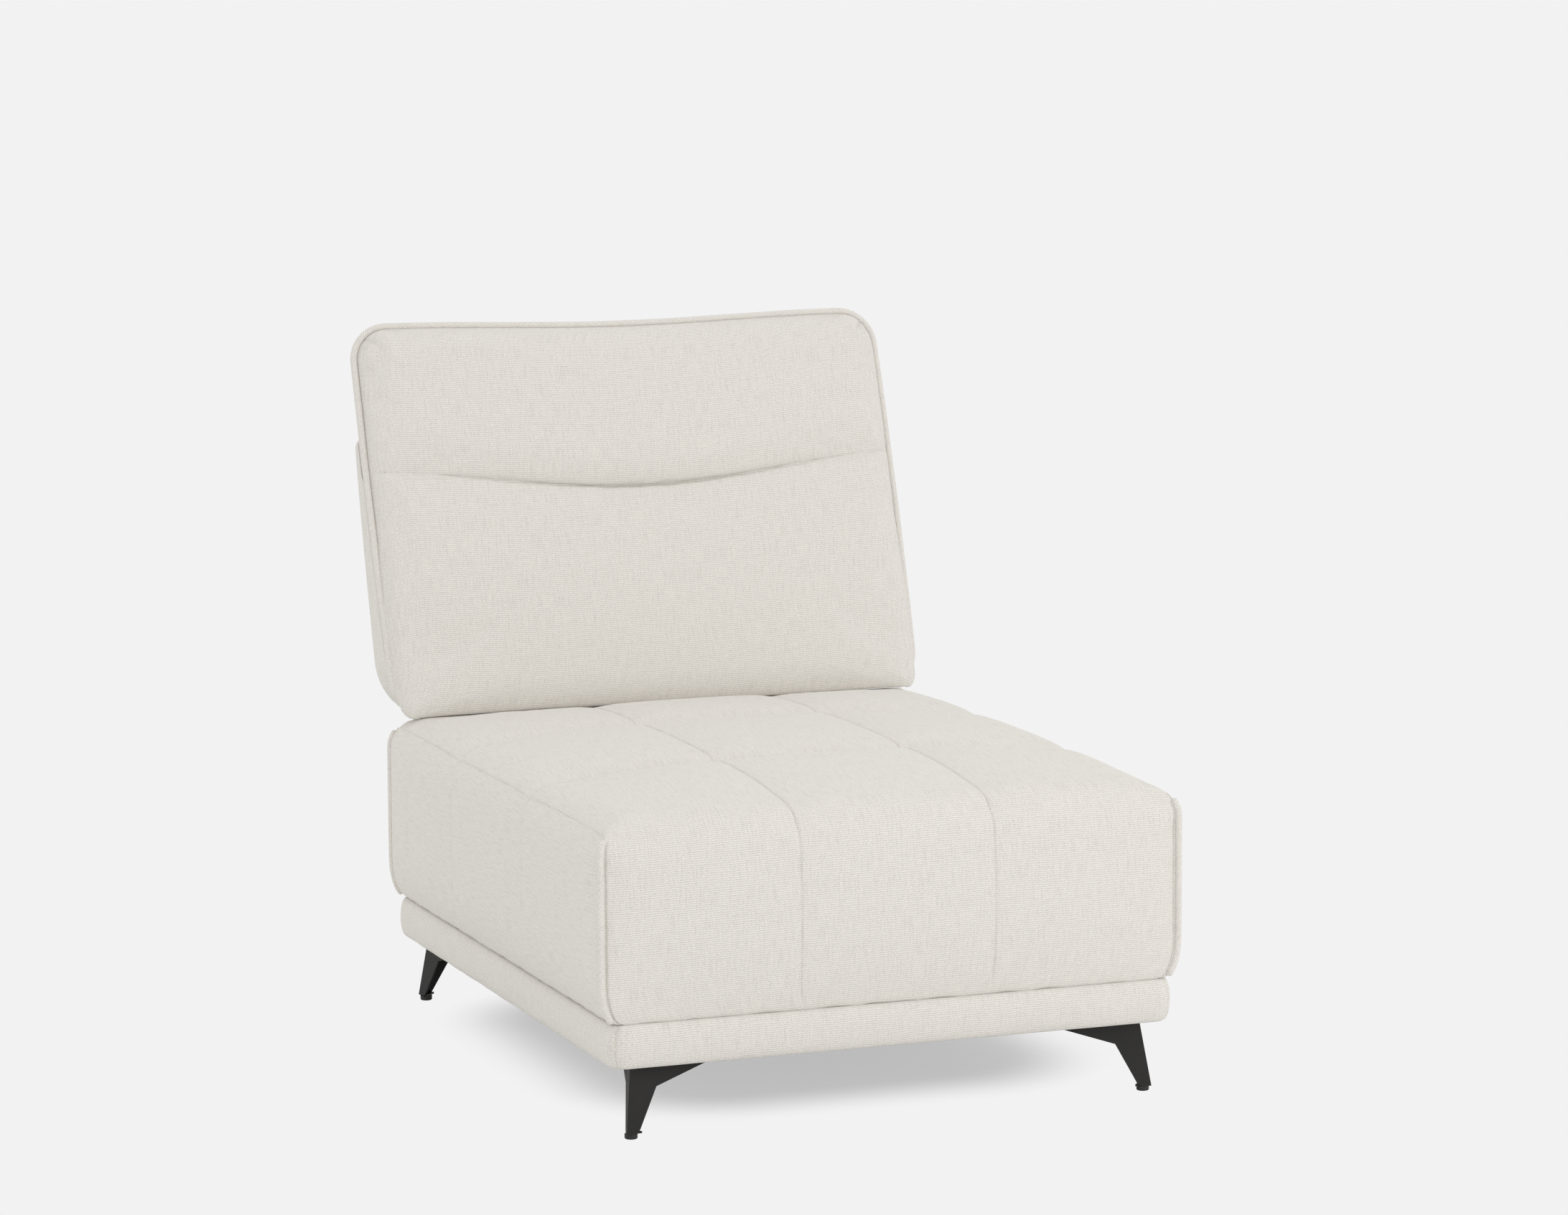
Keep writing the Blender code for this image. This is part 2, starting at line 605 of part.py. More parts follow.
def make_dust_cover(base):
    half_x = FRAME_HALF_X - DUST_COVER_INSET
    half_y = FRAME_HALF_Y - DUST_COVER_INSET
    high_z = FRAME_LOW_Z - GAP
    bm = box((-half_x, -half_y, high_z - DUST_COVER_THICKNESS), (half_x, half_y, high_z))
    for _, side_x, side_y in CORNERS:
        cut_off(bm, Vector((side_x * (half_x - DUST_COVER_CORNER), side_y * half_y, 0)),
                Vector((side_x, side_y, 0)))
    place("dust_cover", bm, LINING, base)


def make_springs(base):
    """Zig-zag springs from the front board's top edge to the rear board's."""
    end = FRAME_HALF_Y - BOARD_THICKNESS + SPRING_END_OVERLAP
    pitch = 2 * end / SPRING_BENDS
    for number in range(SPRING_COUNT):
        centre = SPRING_SPACING * (number - (SPRING_COUNT - 1) / 2)
        points = [(centre, -end, SPRING_Z)]
        for bend in range(SPRING_BENDS):
            side = math.copysign(SPRING_HALF_WIDTH, centre) * (1 if bend % 2 else -1)
            start = -end + pitch * bend
            points.append((centre + side * 0.8, start + pitch * 0.08, SPRING_Z))
            points.append((centre + side, start + pitch * 0.5, SPRING_Z))
            points.append((centre + side * 0.8, start + pitch * 0.92, SPRING_Z))
        points.append((centre, end, SPRING_Z))
        tube("seat_spring_" + str(number + 1), points, SPRING_WIRE_RADIUS, SPRING_STEEL, base)


def prism(outline, low_z, high_z):
    """A flat outline given thickness upwards."""
    bm = bmesh.new()
    corners = [bm.verts.new((x, y, low_z)) for x, y in outline]
    face = bm.faces.new(corners)
    grown = bmesh.ops.extrude_face_region(bm, geom=[face])
    top = [item for item in grown["geom"] if isinstance(item, bmesh.types.BMVert)]
    bmesh.ops.translate(bm, verts=top, vec=(0, 0, high_z - low_z))
    return bm


def wing_ways(side_x, side_y):
    """The ways that a leg's two wings run in from their fold: along the end, and along the side."""
    return (Vector((-side_x * math.cos(END_WING_TURN), -side_y * math.sin(END_WING_TURN), 0)),
            Vector((-side_x * math.sin(SIDE_WING_TURN), -side_y * math.cos(SIDE_WING_TURN), 0)))


def plate_outline(corner, reach, side_x, side_y, inset):
    """A three-cornered plate between the wings, a little inside their outer faces."""
    ways = wing_ways(side_x, side_y)
    start = corner + (ways[0] + ways[1]).normalized() * inset
    return [(at.x, at.y) for at in (start, start + ways[0] * reach, start + ways[1] * reach)]


def make_leg(name, side_x, side_y, base):
    """A plate folded to a V: its fold at the outer corner, its wings notched below the band."""
    top_z = FRAME_LOW_Z - GAP
    foot_z = GLIDE_HEIGHT + GAP
    top = Vector((side_x * (SEAT_HALF_X - LEG_INSET_X), side_y * (SEAT_HALF_Y - LEG_INSET_Y), top_z))
    foot = top + Vector((side_x * LEG_SPLAY_X, side_y * LEG_SPLAY_Y, 0))
    foot.z = foot_z
    height = top.z - foot.z
    shown = top.z - LEG_HEIGHT
    past = PLATE_THICKNESS / height
    wing = ((0, -past), (WING_TIP, -past), (WING_TIP, (shown + WING_TIP_DROP) / height),
            (WING_NOTCH_WIDTH, (shown + WING_NOTCH_DROP) / height),
            (WING_FOOT_WIDTH, 1 - WING_FOOT_ROUND / height),
            (WING_FOOT_WIDTH - WING_FOOT_ROUND * 0.3, 1 - WING_FOOT_ROUND * 0.3 / height),
            (WING_FOOT_WIDTH - WING_FOOT_ROUND, 1), (WING_FOOT_WIDTH - WING_FOOT_ROUND, 1 + past),
            (0, 1 + past))
    bm = bmesh.new()
    for way in wing_ways(side_x, side_y):
        bm.faces.new([bm.verts.new(top + way * out + (foot - top) * down) for out, down in wing])
    bmesh.ops.remove_doubles(bm, verts=bm.verts, dist=0.00001)
    bmesh.ops.recalc_face_normals(bm, faces=bm.faces)
    inside = Vector((-side_x, -side_y, 0))
    bm.faces.ensure_lookup_table()
    centre = (bm.faces[0].calc_center_median() + bm.faces[1].calc_center_median()) / 2
    if bm.faces[0].normal.dot(centre - bm.faces[0].calc_center_median()) > 0:
        bmesh.ops.reverse_faces(bm, faces=bm.faces)
    leg = place_open("leg_" + name, bm, BLACK_STEEL, base)
    thicken = leg.modifiers.new("Plate", "SOLIDIFY")
    thicken.thickness = PLATE_THICKNESS
    thicken.offset = -1
    thicken.use_even_offset = True
    apply_modifiers(leg)
    combine(leg, box((-SEAT_WIDTH, -SEAT_LENGTH, foot_z), (SEAT_WIDTH, SEAT_LENGTH, top_z)), "INTERSECT")
    top_plate = prism(plate_outline(top, TOP_PLATE_REACH, side_x, side_y, PLATE_THICKNESS),
                      top_z - PLATE_THICKNESS, top_z - FLUSH_STEP)
    combine(leg, top_plate, "UNION")
    foot_plate = prism(plate_outline(foot, FOOT_PLATE_REACH, side_x, side_y, PLATE_THICKNESS),
                       foot_z + FLUSH_STEP, foot_z + PLATE_THICKNESS)
    combine(leg, foot_plate, "UNION")
    bolt_at = bolt_place(side_x, side_y)
    drill = cylinder(BOLT_RADIUS + HOLE_CLEARANCE, top_z - CUT_PAST, top_z + CUT_PAST)
    combine(leg, moved(drill, bolt_at), "DIFFERENCE")
    glide_at = foot + inside.normalized() * GLIDE_REACH
    glide_at.z = 0
    drill = cylinder(GLIDE_STEM_RADIUS + HOLE_CLEARANCE, foot_z - CUT_PAST, foot_z + 2 * PLATE_THICKNESS)
    combine(leg, moved(drill, glide_at), "DIFFERENCE")
    make_glide("glide_" + name, glide_at, base)
    make_leg_bolt("leg_bolt_" + name, bolt_at, top_z - PLATE_THICKNESS - GAP, base)


def place_open(name, bm, spec, parent):
    """Like place, for an open sheet whose faces already point the right way."""
    mesh = bpy.data.meshes.new(name)
    bm.to_mesh(mesh)
    bm.free()
    mesh.materials.append(material(spec))
    obj = bpy.data.objects.new(name, mesh)
    obj.parent = parent
    parts.objects.link(obj)
    return obj


def apply_modifiers(obj):
    bpy.context.view_layer.update()
    graph = bpy.context.evaluated_depsgraph_get()
    result = bpy.data.meshes.new_from_object(obj.evaluated_get(graph))
    obj.modifiers.clear()
    obj.data = result


def turned(name, profile, spec, parent, location, lie_across=False, steps=20):
    """A turned piece: a profile of (radius, height), from the top down, swept round its axis."""
    mesh = bpy.data.meshes.new(name)
    edges = [(number, number + 1) for number in range(len(profile) - 1)]
    mesh.from_pydata([(radius, 0, height) for radius, height in profile], edges, [])
    obj = bpy.data.objects.new(name, mesh)
    obj.location = location
    obj.parent = parent
    parts.objects.link(obj)
    if lie_across:
        obj.rotation_euler.y = math.pi / 2
    screw = obj.modifiers.new("Turn", "SCREW")
    screw.steps = steps
    screw.render_steps = steps
    screw.use_merge_vertices = True
    screw.merge_threshold = 0.00001
    screw.use_smooth_shade = True
    mesh.materials.append(material(spec))
    return obj


def make_glide(name, at, base):
    stem_top = GLIDE_HEIGHT + GLIDE_STEM_LENGTH
    edge = GLIDE_RADIUS * 0.12
    turned(name, [(0, stem_top), (GLIDE_STEM_RADIUS, stem_top), (GLIDE_STEM_RADIUS, GLIDE_HEIGHT),
                  (GLIDE_RADIUS, GLIDE_HEIGHT), (GLIDE_RADIUS, edge), (GLIDE_RADIUS - edge, 0), (0, 0)],
           GLIDE_PLASTIC, base, at)


def make_leg_bolt(name, at, head_top, base):
    """A hexagon head below the leg's top plate, its shank up into the corner block."""
    head = moved(cylinder(BOLT_HEAD_RADIUS, head_top - BOLT_HEAD_HEIGHT, head_top, segments=6), at)
    bolt = place(name, head, ZINC_STEEL, base)
    shank = cylinder(BOLT_RADIUS, head_top - BOLT_HEAD_HEIGHT / 2, head_top + BOLT_LENGTH, segments=16)
    combine(bolt, moved(shank, at), "UNION")


def ear(x_low, x_high, root, root_after, centre, radius, steps=14):
    """A flat ear across the chair, from a straight root round a pin's centre.

    Places are (depth, height); root, the pin and root_after follow each other anticlockwise.
    """
    def tangent(point, way):
        away = Vector(point) - Vector(centre)
        return math.atan2(away.y, away.x) + way * math.acos(radius / away.length)

    first = tangent(root, 1)
    last = tangent(root_after, -1)
    while last < first:
        last += 2 * math.pi
    angles = [first + (last - first) * number / steps for number in range(steps + 1)]
    outline = [(centre[0] + radius * math.cos(angle), centre[1] + radius * math.sin(angle))
               for angle in angles]
    outline = [root, *outline, root_after]
    bm = bmesh.new()
    face = bm.faces.new([bm.verts.new((x_low, y, z)) for y, z in outline])
    grown = bmesh.ops.extrude_face_region(bm, geom=[face])
    far = [item for item in grown["geom"] if isinstance(item, bmesh.types.BMVert)]
    bmesh.ops.translate(bm, verts=far, vec=(x_high - x_low, 0, 0))
    return bm


def disc_across(x_low, x_high, centre, radius, segments=20):
    return moved(cylinder(radius, x_low, x_high, "X", segments), (0, centre[0], centre[1]))


def make_rivet(name, x_low, x_high, centre, radius, head_radius, head, parent):
    """A pin across the chair with a head outside each ear."""
    turned(name, [(0, x_high + head), (head_radius, x_high + head), (head_radius, x_high),
                  (radius, x_high), (radius, x_low), (head_radius, x_low),
                  (head_radius, x_low - head), (0, x_low - head)],
           ZINC_STEEL, parent, (0, centre[0], centre[1]), lie_across=True)


def to_back(y, z):
    """(depth, height) in the back's own frame of a place in the seat's."""
    away_y = y - BACK_FOOT_Y
    away_z = z - BACK_FOOT_Z
    return (away_y * math.cos(BACK_RAKE) - away_z * math.sin(BACK_RAKE),
            away_y * math.sin(BACK_RAKE) + away_z * math.cos(BACK_RAKE))


def hinge_places(side):
    """The two ears' ranges across the chair: the seat's ear inside, the back's ear outside."""
    fixed = sorted((side * (HINGE_X - HINGE_STEEL), side * HINGE_X))
    turning = sorted((side * (HINGE_X + RUNNING_GAP), side * (HINGE_X + RUNNING_GAP + HINGE_STEEL)))
    return fixed, turning


def make_hinge_plate(name, side, base):
    """Bolted over the seat's rear padding; its bosses reach the rear board through the pad."""
    fixed, _ = hinge_places(side)
    axis = (RECLINE_AXIS_Y, RECLINE_AXIS_Z)
    face = FULL_HALF_Y + GAP
    top = RECLINE_AXIS_Z - HINGE_EAR_RADIUS
    centre = side * HINGE_X
    bm = box((centre - HINGE_PLATE_WIDTH / 2, face, HINGE_PLATE_LOW),
             (centre + HINGE_PLATE_WIDTH / 2, face + HINGE_STEEL, top))
    plate = place(name, bm, BLACK_STEEL, base)
    root = face + HINGE_STEEL / 2
    combine(plate, ear(*fixed, (root, top - HINGE_ROOT), (root, top - GAP), axis, HINGE_EAR_RADIUS),
            "UNION")
    for number in range(2):
        boss = cylinder(HINGE_BOSS_RADIUS, FRAME_HALF_Y + GAP, face + HINGE_STEEL / 2, "Y")
        combine(plate, moved(boss, (centre, 0, HINGE_BOSS_LOW + HINGE_BOSS_SPACING * number)), "UNION")
    drill = disc_across(fixed[0] - CUT_PAST, fixed[1] + CUT_PAST, axis, HINGE_PIN_RADIUS + HOLE_CLEARANCE)
    combine(plate, drill, "DIFFERENCE")


def bore_pad_for_bosses(pad):
    """Holes through the seat's rear padding for the hinge plates' bosses."""
    for side in (-1, 1):
        for number in range(2):
            drill = cylinder(HINGE_BOSS_RADIUS + HOLE_CLEARANCE, FRAME_HALF_Y - CUT_PAST,
                             FULL_HALF_Y + CUT_PAST, "Y")
            at = (side * HINGE_X, 0, HINGE_BOSS_LOW + HINGE_BOSS_SPACING * number)
            combine(pad, moved(drill, at), "DIFFERENCE")


def make_hinge_arm(name, side, back):
    """Screwed flat to the back of the board, with an ear down to the recline pin."""
    _, turning = hinge_places(side)
    axis = to_back(RECLINE_AXIS_Y, RECLINE_AXIS_Z)
    face = BOARD_FACE + BACK_BOARD_THICKNESS + GAP
    middle = sum(turning) / 2
    bm = box((middle - HINGE_ARM_WIDTH / 2, face, BACK_BOARD_LOW + SOFT_GAP),
             (middle + HINGE_ARM_WIDTH / 2, face + HINGE_STEEL, HINGE_ARM_HIGH))
    arm = place(name, bm, BLACK_STEEL, back)
    root = face + HINGE_STEEL / 2
    low = BACK_BOARD_LOW + 2 * SOFT_GAP
    combine(arm, ear(*turning, (root, low), (root, low + HINGE_ROOT), axis, HINGE_EAR_RADIUS), "UNION")
    drill = disc_across(turning[0] - CUT_PAST, turning[1] + CUT_PAST, axis,
                        HINGE_PIN_RADIUS + HOLE_CLEARANCE)
    combine(arm, drill, "DIFFERENCE")


def make_recline_hinges(base, back):
    for name, side in SIDES:
        make_hinge_plate("hinge_plate_" + name, side, base)
        make_hinge_arm("hinge_arm_" + name, side, back)
        fixed, turning = hinge_places(side)
        make_rivet("hinge_pin_" + name, min(fixed[0], turning[0]) - GAP, max(fixed[1], turning[1]) + GAP,
                   (RECLINE_AXIS_Y, RECLINE_AXIS_Z), HINGE_PIN_RADIUS, HINGE_PIN_HEAD_RADIUS,
                   HINGE_PIN_HEAD, base)


def half_width(height):
    """Half the back's width at a height up it, at the outside of the piping."""
    return HALF_LOW + (HALF_HIGH - HALF_LOW) * height / BACK_HEIGHT


def seam_height(x):
    """The smile seam: level at its ends and sagging to the middle."""
    across = min(1, abs(x) / (HALF_LOW * SEAM_SPAN))
    return SEAM_HEIGHT - SEAM_SAG * math.cos(across * math.pi / 2) ** 2


def top_drop(x):
    """How far the back's top edge lies below its straight line: nothing at the corners."""
    across = min(1, abs(x) / (HALF_HIGH - BACK_CORNER_RADIUS))
    return TOP_SAG * math.cos(across * math.pi / 2) ** 2


def soft_slab(low, high, flat, face, edge, corners, crown, inset, spans):
    """A padded slab between two heights: flat on one side, its other side crowned and rounded.

    corners gives the radii of the lower and upper corners, spans the plain divisions each way.
    """
    half = half_width((low + high) / 2) - inset
    depth = abs(face - flat)
    near, far = sorted((flat, face))
    rises = [face - (face - flat) * step for step in (edge / depth * 0.2, edge / depth * 0.55, edge / depth)]
    across = edge_cuts(-half, half, edge, spans[0])
    up = edge_cuts(low, high, edge, spans[1])
    for radius, end, way in zip(corners, (low, high), (1, -1)):
        if radius > 2 * edge:
            across += [side * (half - radius * step) for side in (-1, 1) for step in CORNER_STEPS]
            up += [end + way * radius * step for step in CORNER_STEPS]
    bm = grid_box((-half, near, low), (half, far, high), (across, rises, up))
    merge_flat_face(bm, 1, flat)
    middle = (low + high) / 2
    for vert in bm.verts:
        x, y, z = vert.co
        share = abs(y - flat) / depth
        inside = min(half - abs(x), z - low, high - z)
        away = max(0, edge - inside)
        rise = max(0, edge - (1 - share) * depth)
        if away > 0 and rise > 0:
            reach = max(away, rise) / math.hypot(away, rise)
            inside = edge - away * reach
            share = 1 - (edge - rise * reach) / depth
            x = math.copysign(min(abs(x), half - inside), x)
            z = min(max(z, low + inside), high - inside)
        for radius, end, way in zip(corners, (low, high), (1, -1)):
            past_x = abs(x) - (half - radius)
            past_z = radius - (z - end) * way
            if past_x > 0 and past_z > 0:
                reach = max(past_x, past_z) / math.hypot(past_x, past_z)
                x = math.copysign(half - radius + past_x * reach, x)
                z = end + way * (radius - past_z * reach)
        swell = max(0, 1 - (x / half) ** 2) * max(0, 1 - ((z - middle) / (high - middle)) ** 2)
        y = flat + (face - flat) * share + math.copysign(crown * swell * share, face - flat)
        vert.co = (x * (half_width(z) - inset) / half, y, z)
    return bm


def make_back_cushion(back):
    inset = 2 * PIPING_RADIUS + GAP
    flat = BOARD_FACE - GAP
    bm = soft_slab(inset, SEAM_HEIGHT, flat, -CUSHION_DEPTH, CUSHION_EDGE_RADIUS,
                   (BACK_CORNER_RADIUS - inset, CUSHION_EDGE_RADIUS / 4), BACK_CROWN, inset, (8, 5))
    for vert in bm.verts:
        x, y, z = vert.co
        top = seam_height(x) - SEAM_GAP - SEAM_VALLEY * (flat - y)
        vert.co.z = inset + (z - inset) * (top - inset) / (SEAM_HEIGHT - inset)
        vert.co.x = x * (half_width(vert.co.z) - inset) / (half_width(z) - inset)
    place("back_cushion", bm, FABRIC, back, smooth=True)


def make_headrest_cushion(headrest):
    inset = 2 * PIPING_RADIUS + GAP
    high = BACK_HEIGHT - inset - SOFT_GAP / 2
    bm = soft_slab(SEAM_HEIGHT, high, BOARD_FACE - GAP, -CUSHION_DEPTH, CUSHION_EDGE_RADIUS,
                   (CUSHION_EDGE_RADIUS / 4, BACK_CORNER_RADIUS - inset), BACK_CROWN, inset, (8, 4))
    for vert in bm.verts:
        x, y, z = vert.co
        top = high - top_drop(x)
        vert.co.z = top - (high - z) * (top - seam_height(x)) / (high - SEAM_HEIGHT)
        vert.co.x = x * (half_width(vert.co.z) - inset) / (half_width(z) - inset)
    place("headrest_cushion", bm, FABRIC, headrest, smooth=True)


def outline_arc(centre_x, centre_z, radius, start, steps=12):
    """A quarter circle of the piping's path, anticlockwise from a start angle in quarters."""
    angles = [(start + number / (steps - 1)) * math.pi / 2 for number in range(steps)]
    return [(centre_x + radius * math.cos(angle), 0, centre_z + radius * math.sin(angle))
            for angle in angles]


def make_pipings(back, headrest):
    radius = BACK_CORNER_RADIUS - PIPING_RADIUS
    low = PIPING_RADIUS + radius
    high = BACK_HEIGHT - PIPING_RADIUS - radius
    at_low = half_width(low) - PIPING_RADIUS
    at_high = half_width(high) - PIPING_RADIUS
    below = SEAM_HEIGHT - PIPING_FOLD_GAP
    above = SEAM_HEIGHT + GAP
    lower = [(-(half_width(below) - PIPING_RADIUS), 0, below)]
    lower += outline_arc(-at_low + radius, low, radius, 2)
    lower += outline_arc(at_low - radius, low, radius, 3)
    lower += [(half_width(below) - PIPING_RADIUS, 0, below)]
    upper = [(half_width(above) - PIPING_RADIUS, 0, above)]
    upper += outline_arc(at_high - radius, high, radius, 0)
    upper += [(x, 0, high + radius - top_drop(x))
              for x in [(at_high - radius) * (1 - number / TOP_SPANS) for number in range(1, 2 * TOP_SPANS)]]
    upper += outline_arc(-at_high + radius, high, radius, 1)
    upper += [(-(half_width(above) - PIPING_RADIUS), 0, above)]
    tube("back_piping", lower, PIPING_RADIUS, WELT_FABRIC, back, sides=2)
    tube("headrest_piping", upper, PIPING_RADIUS, WELT_FABRIC, headrest, sides=2)


def make_back_boards(back, headrest):
    bm = box((-BOARD_HALF, BOARD_FACE, BACK_BOARD_LOW),
             (BOARD_HALF, BOARD_FACE + BACK_BOARD_THICKNESS, BACK_BOARD_HIGH))
    place("back_board", bm, PLYWOOD, back)
    bm = box((-BOARD_HALF, BOARD_FACE, HEADREST_BOARD_LOW),
             (BOARD_HALF, BOARD_FACE + HEADREST_BOARD_THICKNESS, HEADREST_BOARD_HIGH))
    place("headrest_board", bm, PLYWOOD, headrest)


def make_rear_housing(back):
    """The padded wedge behind the lower part, hollowed for the board and the hinge arms."""
    front = PIPING_RADIUS + GAP
    bm = soft_slab(HOUSING_LOW, HOUSING_HIGH, front, HOUSING_DEPTH_HIGH, HOUSING_EDGE_RADIUS,
                   (HOUSING_CORNER_RADIUS, HOUSING_EDGE_RADIUS), 0, -HOUSING_SPREAD, (4, 4))
    for vert in bm.verts:
        share = (vert.co.y - front) / (HOUSING_DEPTH_HIGH - front)
        fall = (HOUSING_HIGH - vert.co.z) / (HOUSING_HIGH - HOUSING_LOW)
        vert.co.y = front + share * (HOUSING_DEPTH_HIGH - front
                                     + (HOUSING_DEPTH_LOW - HOUSING_DEPTH_HIGH) * fall)
    housing = place("rear_housing", bm, FABRIC, back, smooth=True)
    half = BOARD_HALF + SOFT_GAP / 2
    behind = BOARD_FACE + BACK_BOARD_THICKNESS + GAP
    fold_low = SEAM_HEIGHT - PIPING_FOLD_GAP
    past = HOUSING_HIGH + CUT_PAST
    combine(housing, box((-half, -CUT_PAST, BACK_BOARD_LOW - SOFT_GAP / 2), (half, behind, past)),
            "DIFFERENCE")
    combine(housing, box((-HALF_HIGH - CUT_PAST, -CUT_PAST, fold_low),
                         (HALF_HIGH + CUT_PAST, HEADREST_PAD_DEPTH + LIP_CLEARANCE, past)), "DIFFERENCE")
    axis = to_back(RECLINE_AXIS_Y, RECLINE_AXIS_Z)
    for _, side in SIDES:
        _, turning = hinge_places(side)
        middle = sum(turning) / 2
        reach = HINGE_ARM_WIDTH / 2 + SOFT_GAP
        combine(housing, box((middle - reach, -CUT_PAST, BACK_BOARD_LOW - SOFT_GAP),
                             (middle + reach, behind + HINGE_STEEL + SOFT_GAP,
                              HINGE_ARM_HIGH + SOFT_GAP)), "DIFFERENCE")
        slot = ear(turning[0] - SOFT_GAP, turning[1] + SOFT_GAP, (behind, -BACK_BOARD_LOW),
                   (behind, BACK_BOARD_LOW + HINGE_ROOT + 4 * SOFT_GAP), axis,
                   HINGE_EAR_RADIUS + SOFT_GAP)
        combine(housing, slot, "DIFFERENCE")
        reach = RATCHET_STRIP_WIDTH / 2 + SOFT_GAP
        combine(housing, box((side * RATCHET_X - reach, -CUT_PAST, RATCHET_BODY_LOW - SOFT_GAP),
                             (side * RATCHET_X + reach, behind + RATCHET_STEEL + SOFT_GAP, past)),
                "DIFFERENCE")


def make_headrest_rear_pad(headrest):
    front = PIPING_RADIUS + GAP
    high = BACK_HEIGHT - HEADREST_PAD_INSET
    bm = soft_slab(HEADREST_PAD_LOW, high, front, HEADREST_PAD_DEPTH, HEADREST_PAD_EDGE_RADIUS,
                   (HOUSING_EDGE_RADIUS, BACK_CORNER_RADIUS - HEADREST_PAD_INSET), 0,
                   HEADREST_PAD_INSET, (5, 3))
    for vert in bm.verts:
        vert.co.z -= top_drop(vert.co.x) * (vert.co.z - HEADREST_PAD_LOW) / (high - HEADREST_PAD_LOW)
    pad = place("headrest_rear_pad", bm, FABRIC, headrest, smooth=True)
    half = BOARD_HALF + SOFT_GAP / 2
    behind = BOARD_FACE + HEADREST_BOARD_THICKNESS + GAP
    combine(pad, box((-half, -CUT_PAST, HEADREST_PAD_LOW - CUT_PAST),
                     (half, behind, HEADREST_BOARD_HIGH + SOFT_GAP / 2)), "DIFFERENCE")
    for _, side in SIDES:
        reach = RATCHET_STRIP_WIDTH / 2 + SOFT_GAP
        combine(pad, box((side * RATCHET_X - reach, -CUT_PAST, HEADREST_PAD_LOW - CUT_PAST),
                         (side * RATCHET_X + reach, HEADREST_PAD_DEPTH + CUT_PAST,
                          RATCHET_ARM_HIGH + SOFT_GAP)), "DIFFERENCE")


def make_ratchets(back, headrest):
    """Each body sits on the back's board, each arm on the headrest's, one pin through both ears."""
    axis = (RATCHET_AXIS_DEPTH, RATCHET_AXIS_HEIGHT)
    for name, side in SIDES:
        centre = side * RATCHET_X
        reach = RATCHET_STRIP_WIDTH / 2
        fixed = sorted((centre - side * RATCHET_STEEL, centre))
        turning = sorted((centre + side * RUNNING_GAP, centre + side * (RUNNING_GAP + RATCHET_STEEL)))
        face = BOARD_FACE + BACK_BOARD_THICKNESS + GAP
        bm = box((centre - reach, face, RATCHET_BODY_LOW),
                 (centre + reach, face + RATCHET_STEEL, BACK_BOARD_HIGH + RATCHET_ROOT))
        body = place("ratchet_body_" + name, bm, BLACK_STEEL, back)
        root = face + RATCHET_STEEL / 2
        combine(body, ear(*fixed, (root, BACK_BOARD_HIGH + RATCHET_ROOT - GAP),
                          (root, BACK_BOARD_HIGH + SOFT_GAP), axis, RATCHET_EAR_RADIUS), "UNION")
        face = BOARD_FACE + HEADREST_BOARD_THICKNESS + GAP
        low = RATCHET_AXIS_HEIGHT + RATCHET_EAR_RADIUS + RUNNING_GAP
        bm = box((centre - reach, face, low), (centre + reach, face + RATCHET_STEEL, RATCHET_ARM_HIGH))
        arm = place("ratchet_arm_" + name, bm, BLACK_STEEL, headrest)
        root = face + RATCHET_STEEL / 2
        combine(arm, ear(*turning, (root, HEADREST_BOARD_LOW - GAP), (root, low + GAP), axis,
                         RATCHET_EAR_RADIUS), "UNION")
        for piece, span in ((body, fixed), (arm, turning)):
            combine(piece, disc_across(span[0] - CUT_PAST, span[1] + CUT_PAST, axis,
                                       RATCHET_PIN_RADIUS + HOLE_CLEARANCE), "DIFFERENCE")
        make_rivet("ratchet_pin_" + name, min(fixed[0], turning[0]) - GAP, max(fixed[1], turning[1]) + GAP,
                   axis, RATCHET_PIN_RADIUS, RATCHET_PIN_HEAD_RADIUS, RATCHET_PIN_HEAD, back)


def stand_on_origin(chair):
    """Puts the middle of the whole chair's footprint at the origin."""
    bpy.context.view_layer.update()
    graph = bpy.context.evaluated_depsgraph_get()
    low = Vector((math.inf,) * 3)
    high = Vector((-math.inf,) * 3)
    for obj in parts.objects:
        if obj.type != "MESH":
            continue
        evaluated = obj.evaluated_get(graph)
        for vert in evaluated.data.vertices:
            at = evaluated.matrix_world @ vert.co
            low = Vector(map(min, low, at))
            high = Vector(map(max, high, at))
    chair.location.x -= (low.x + high.x) / 2
    chair.location.y -= (low.y + high.y) / 2
    bpy.context.view_layer.update()
    print("box", [round(side, 4) for side in (*low, *high)])


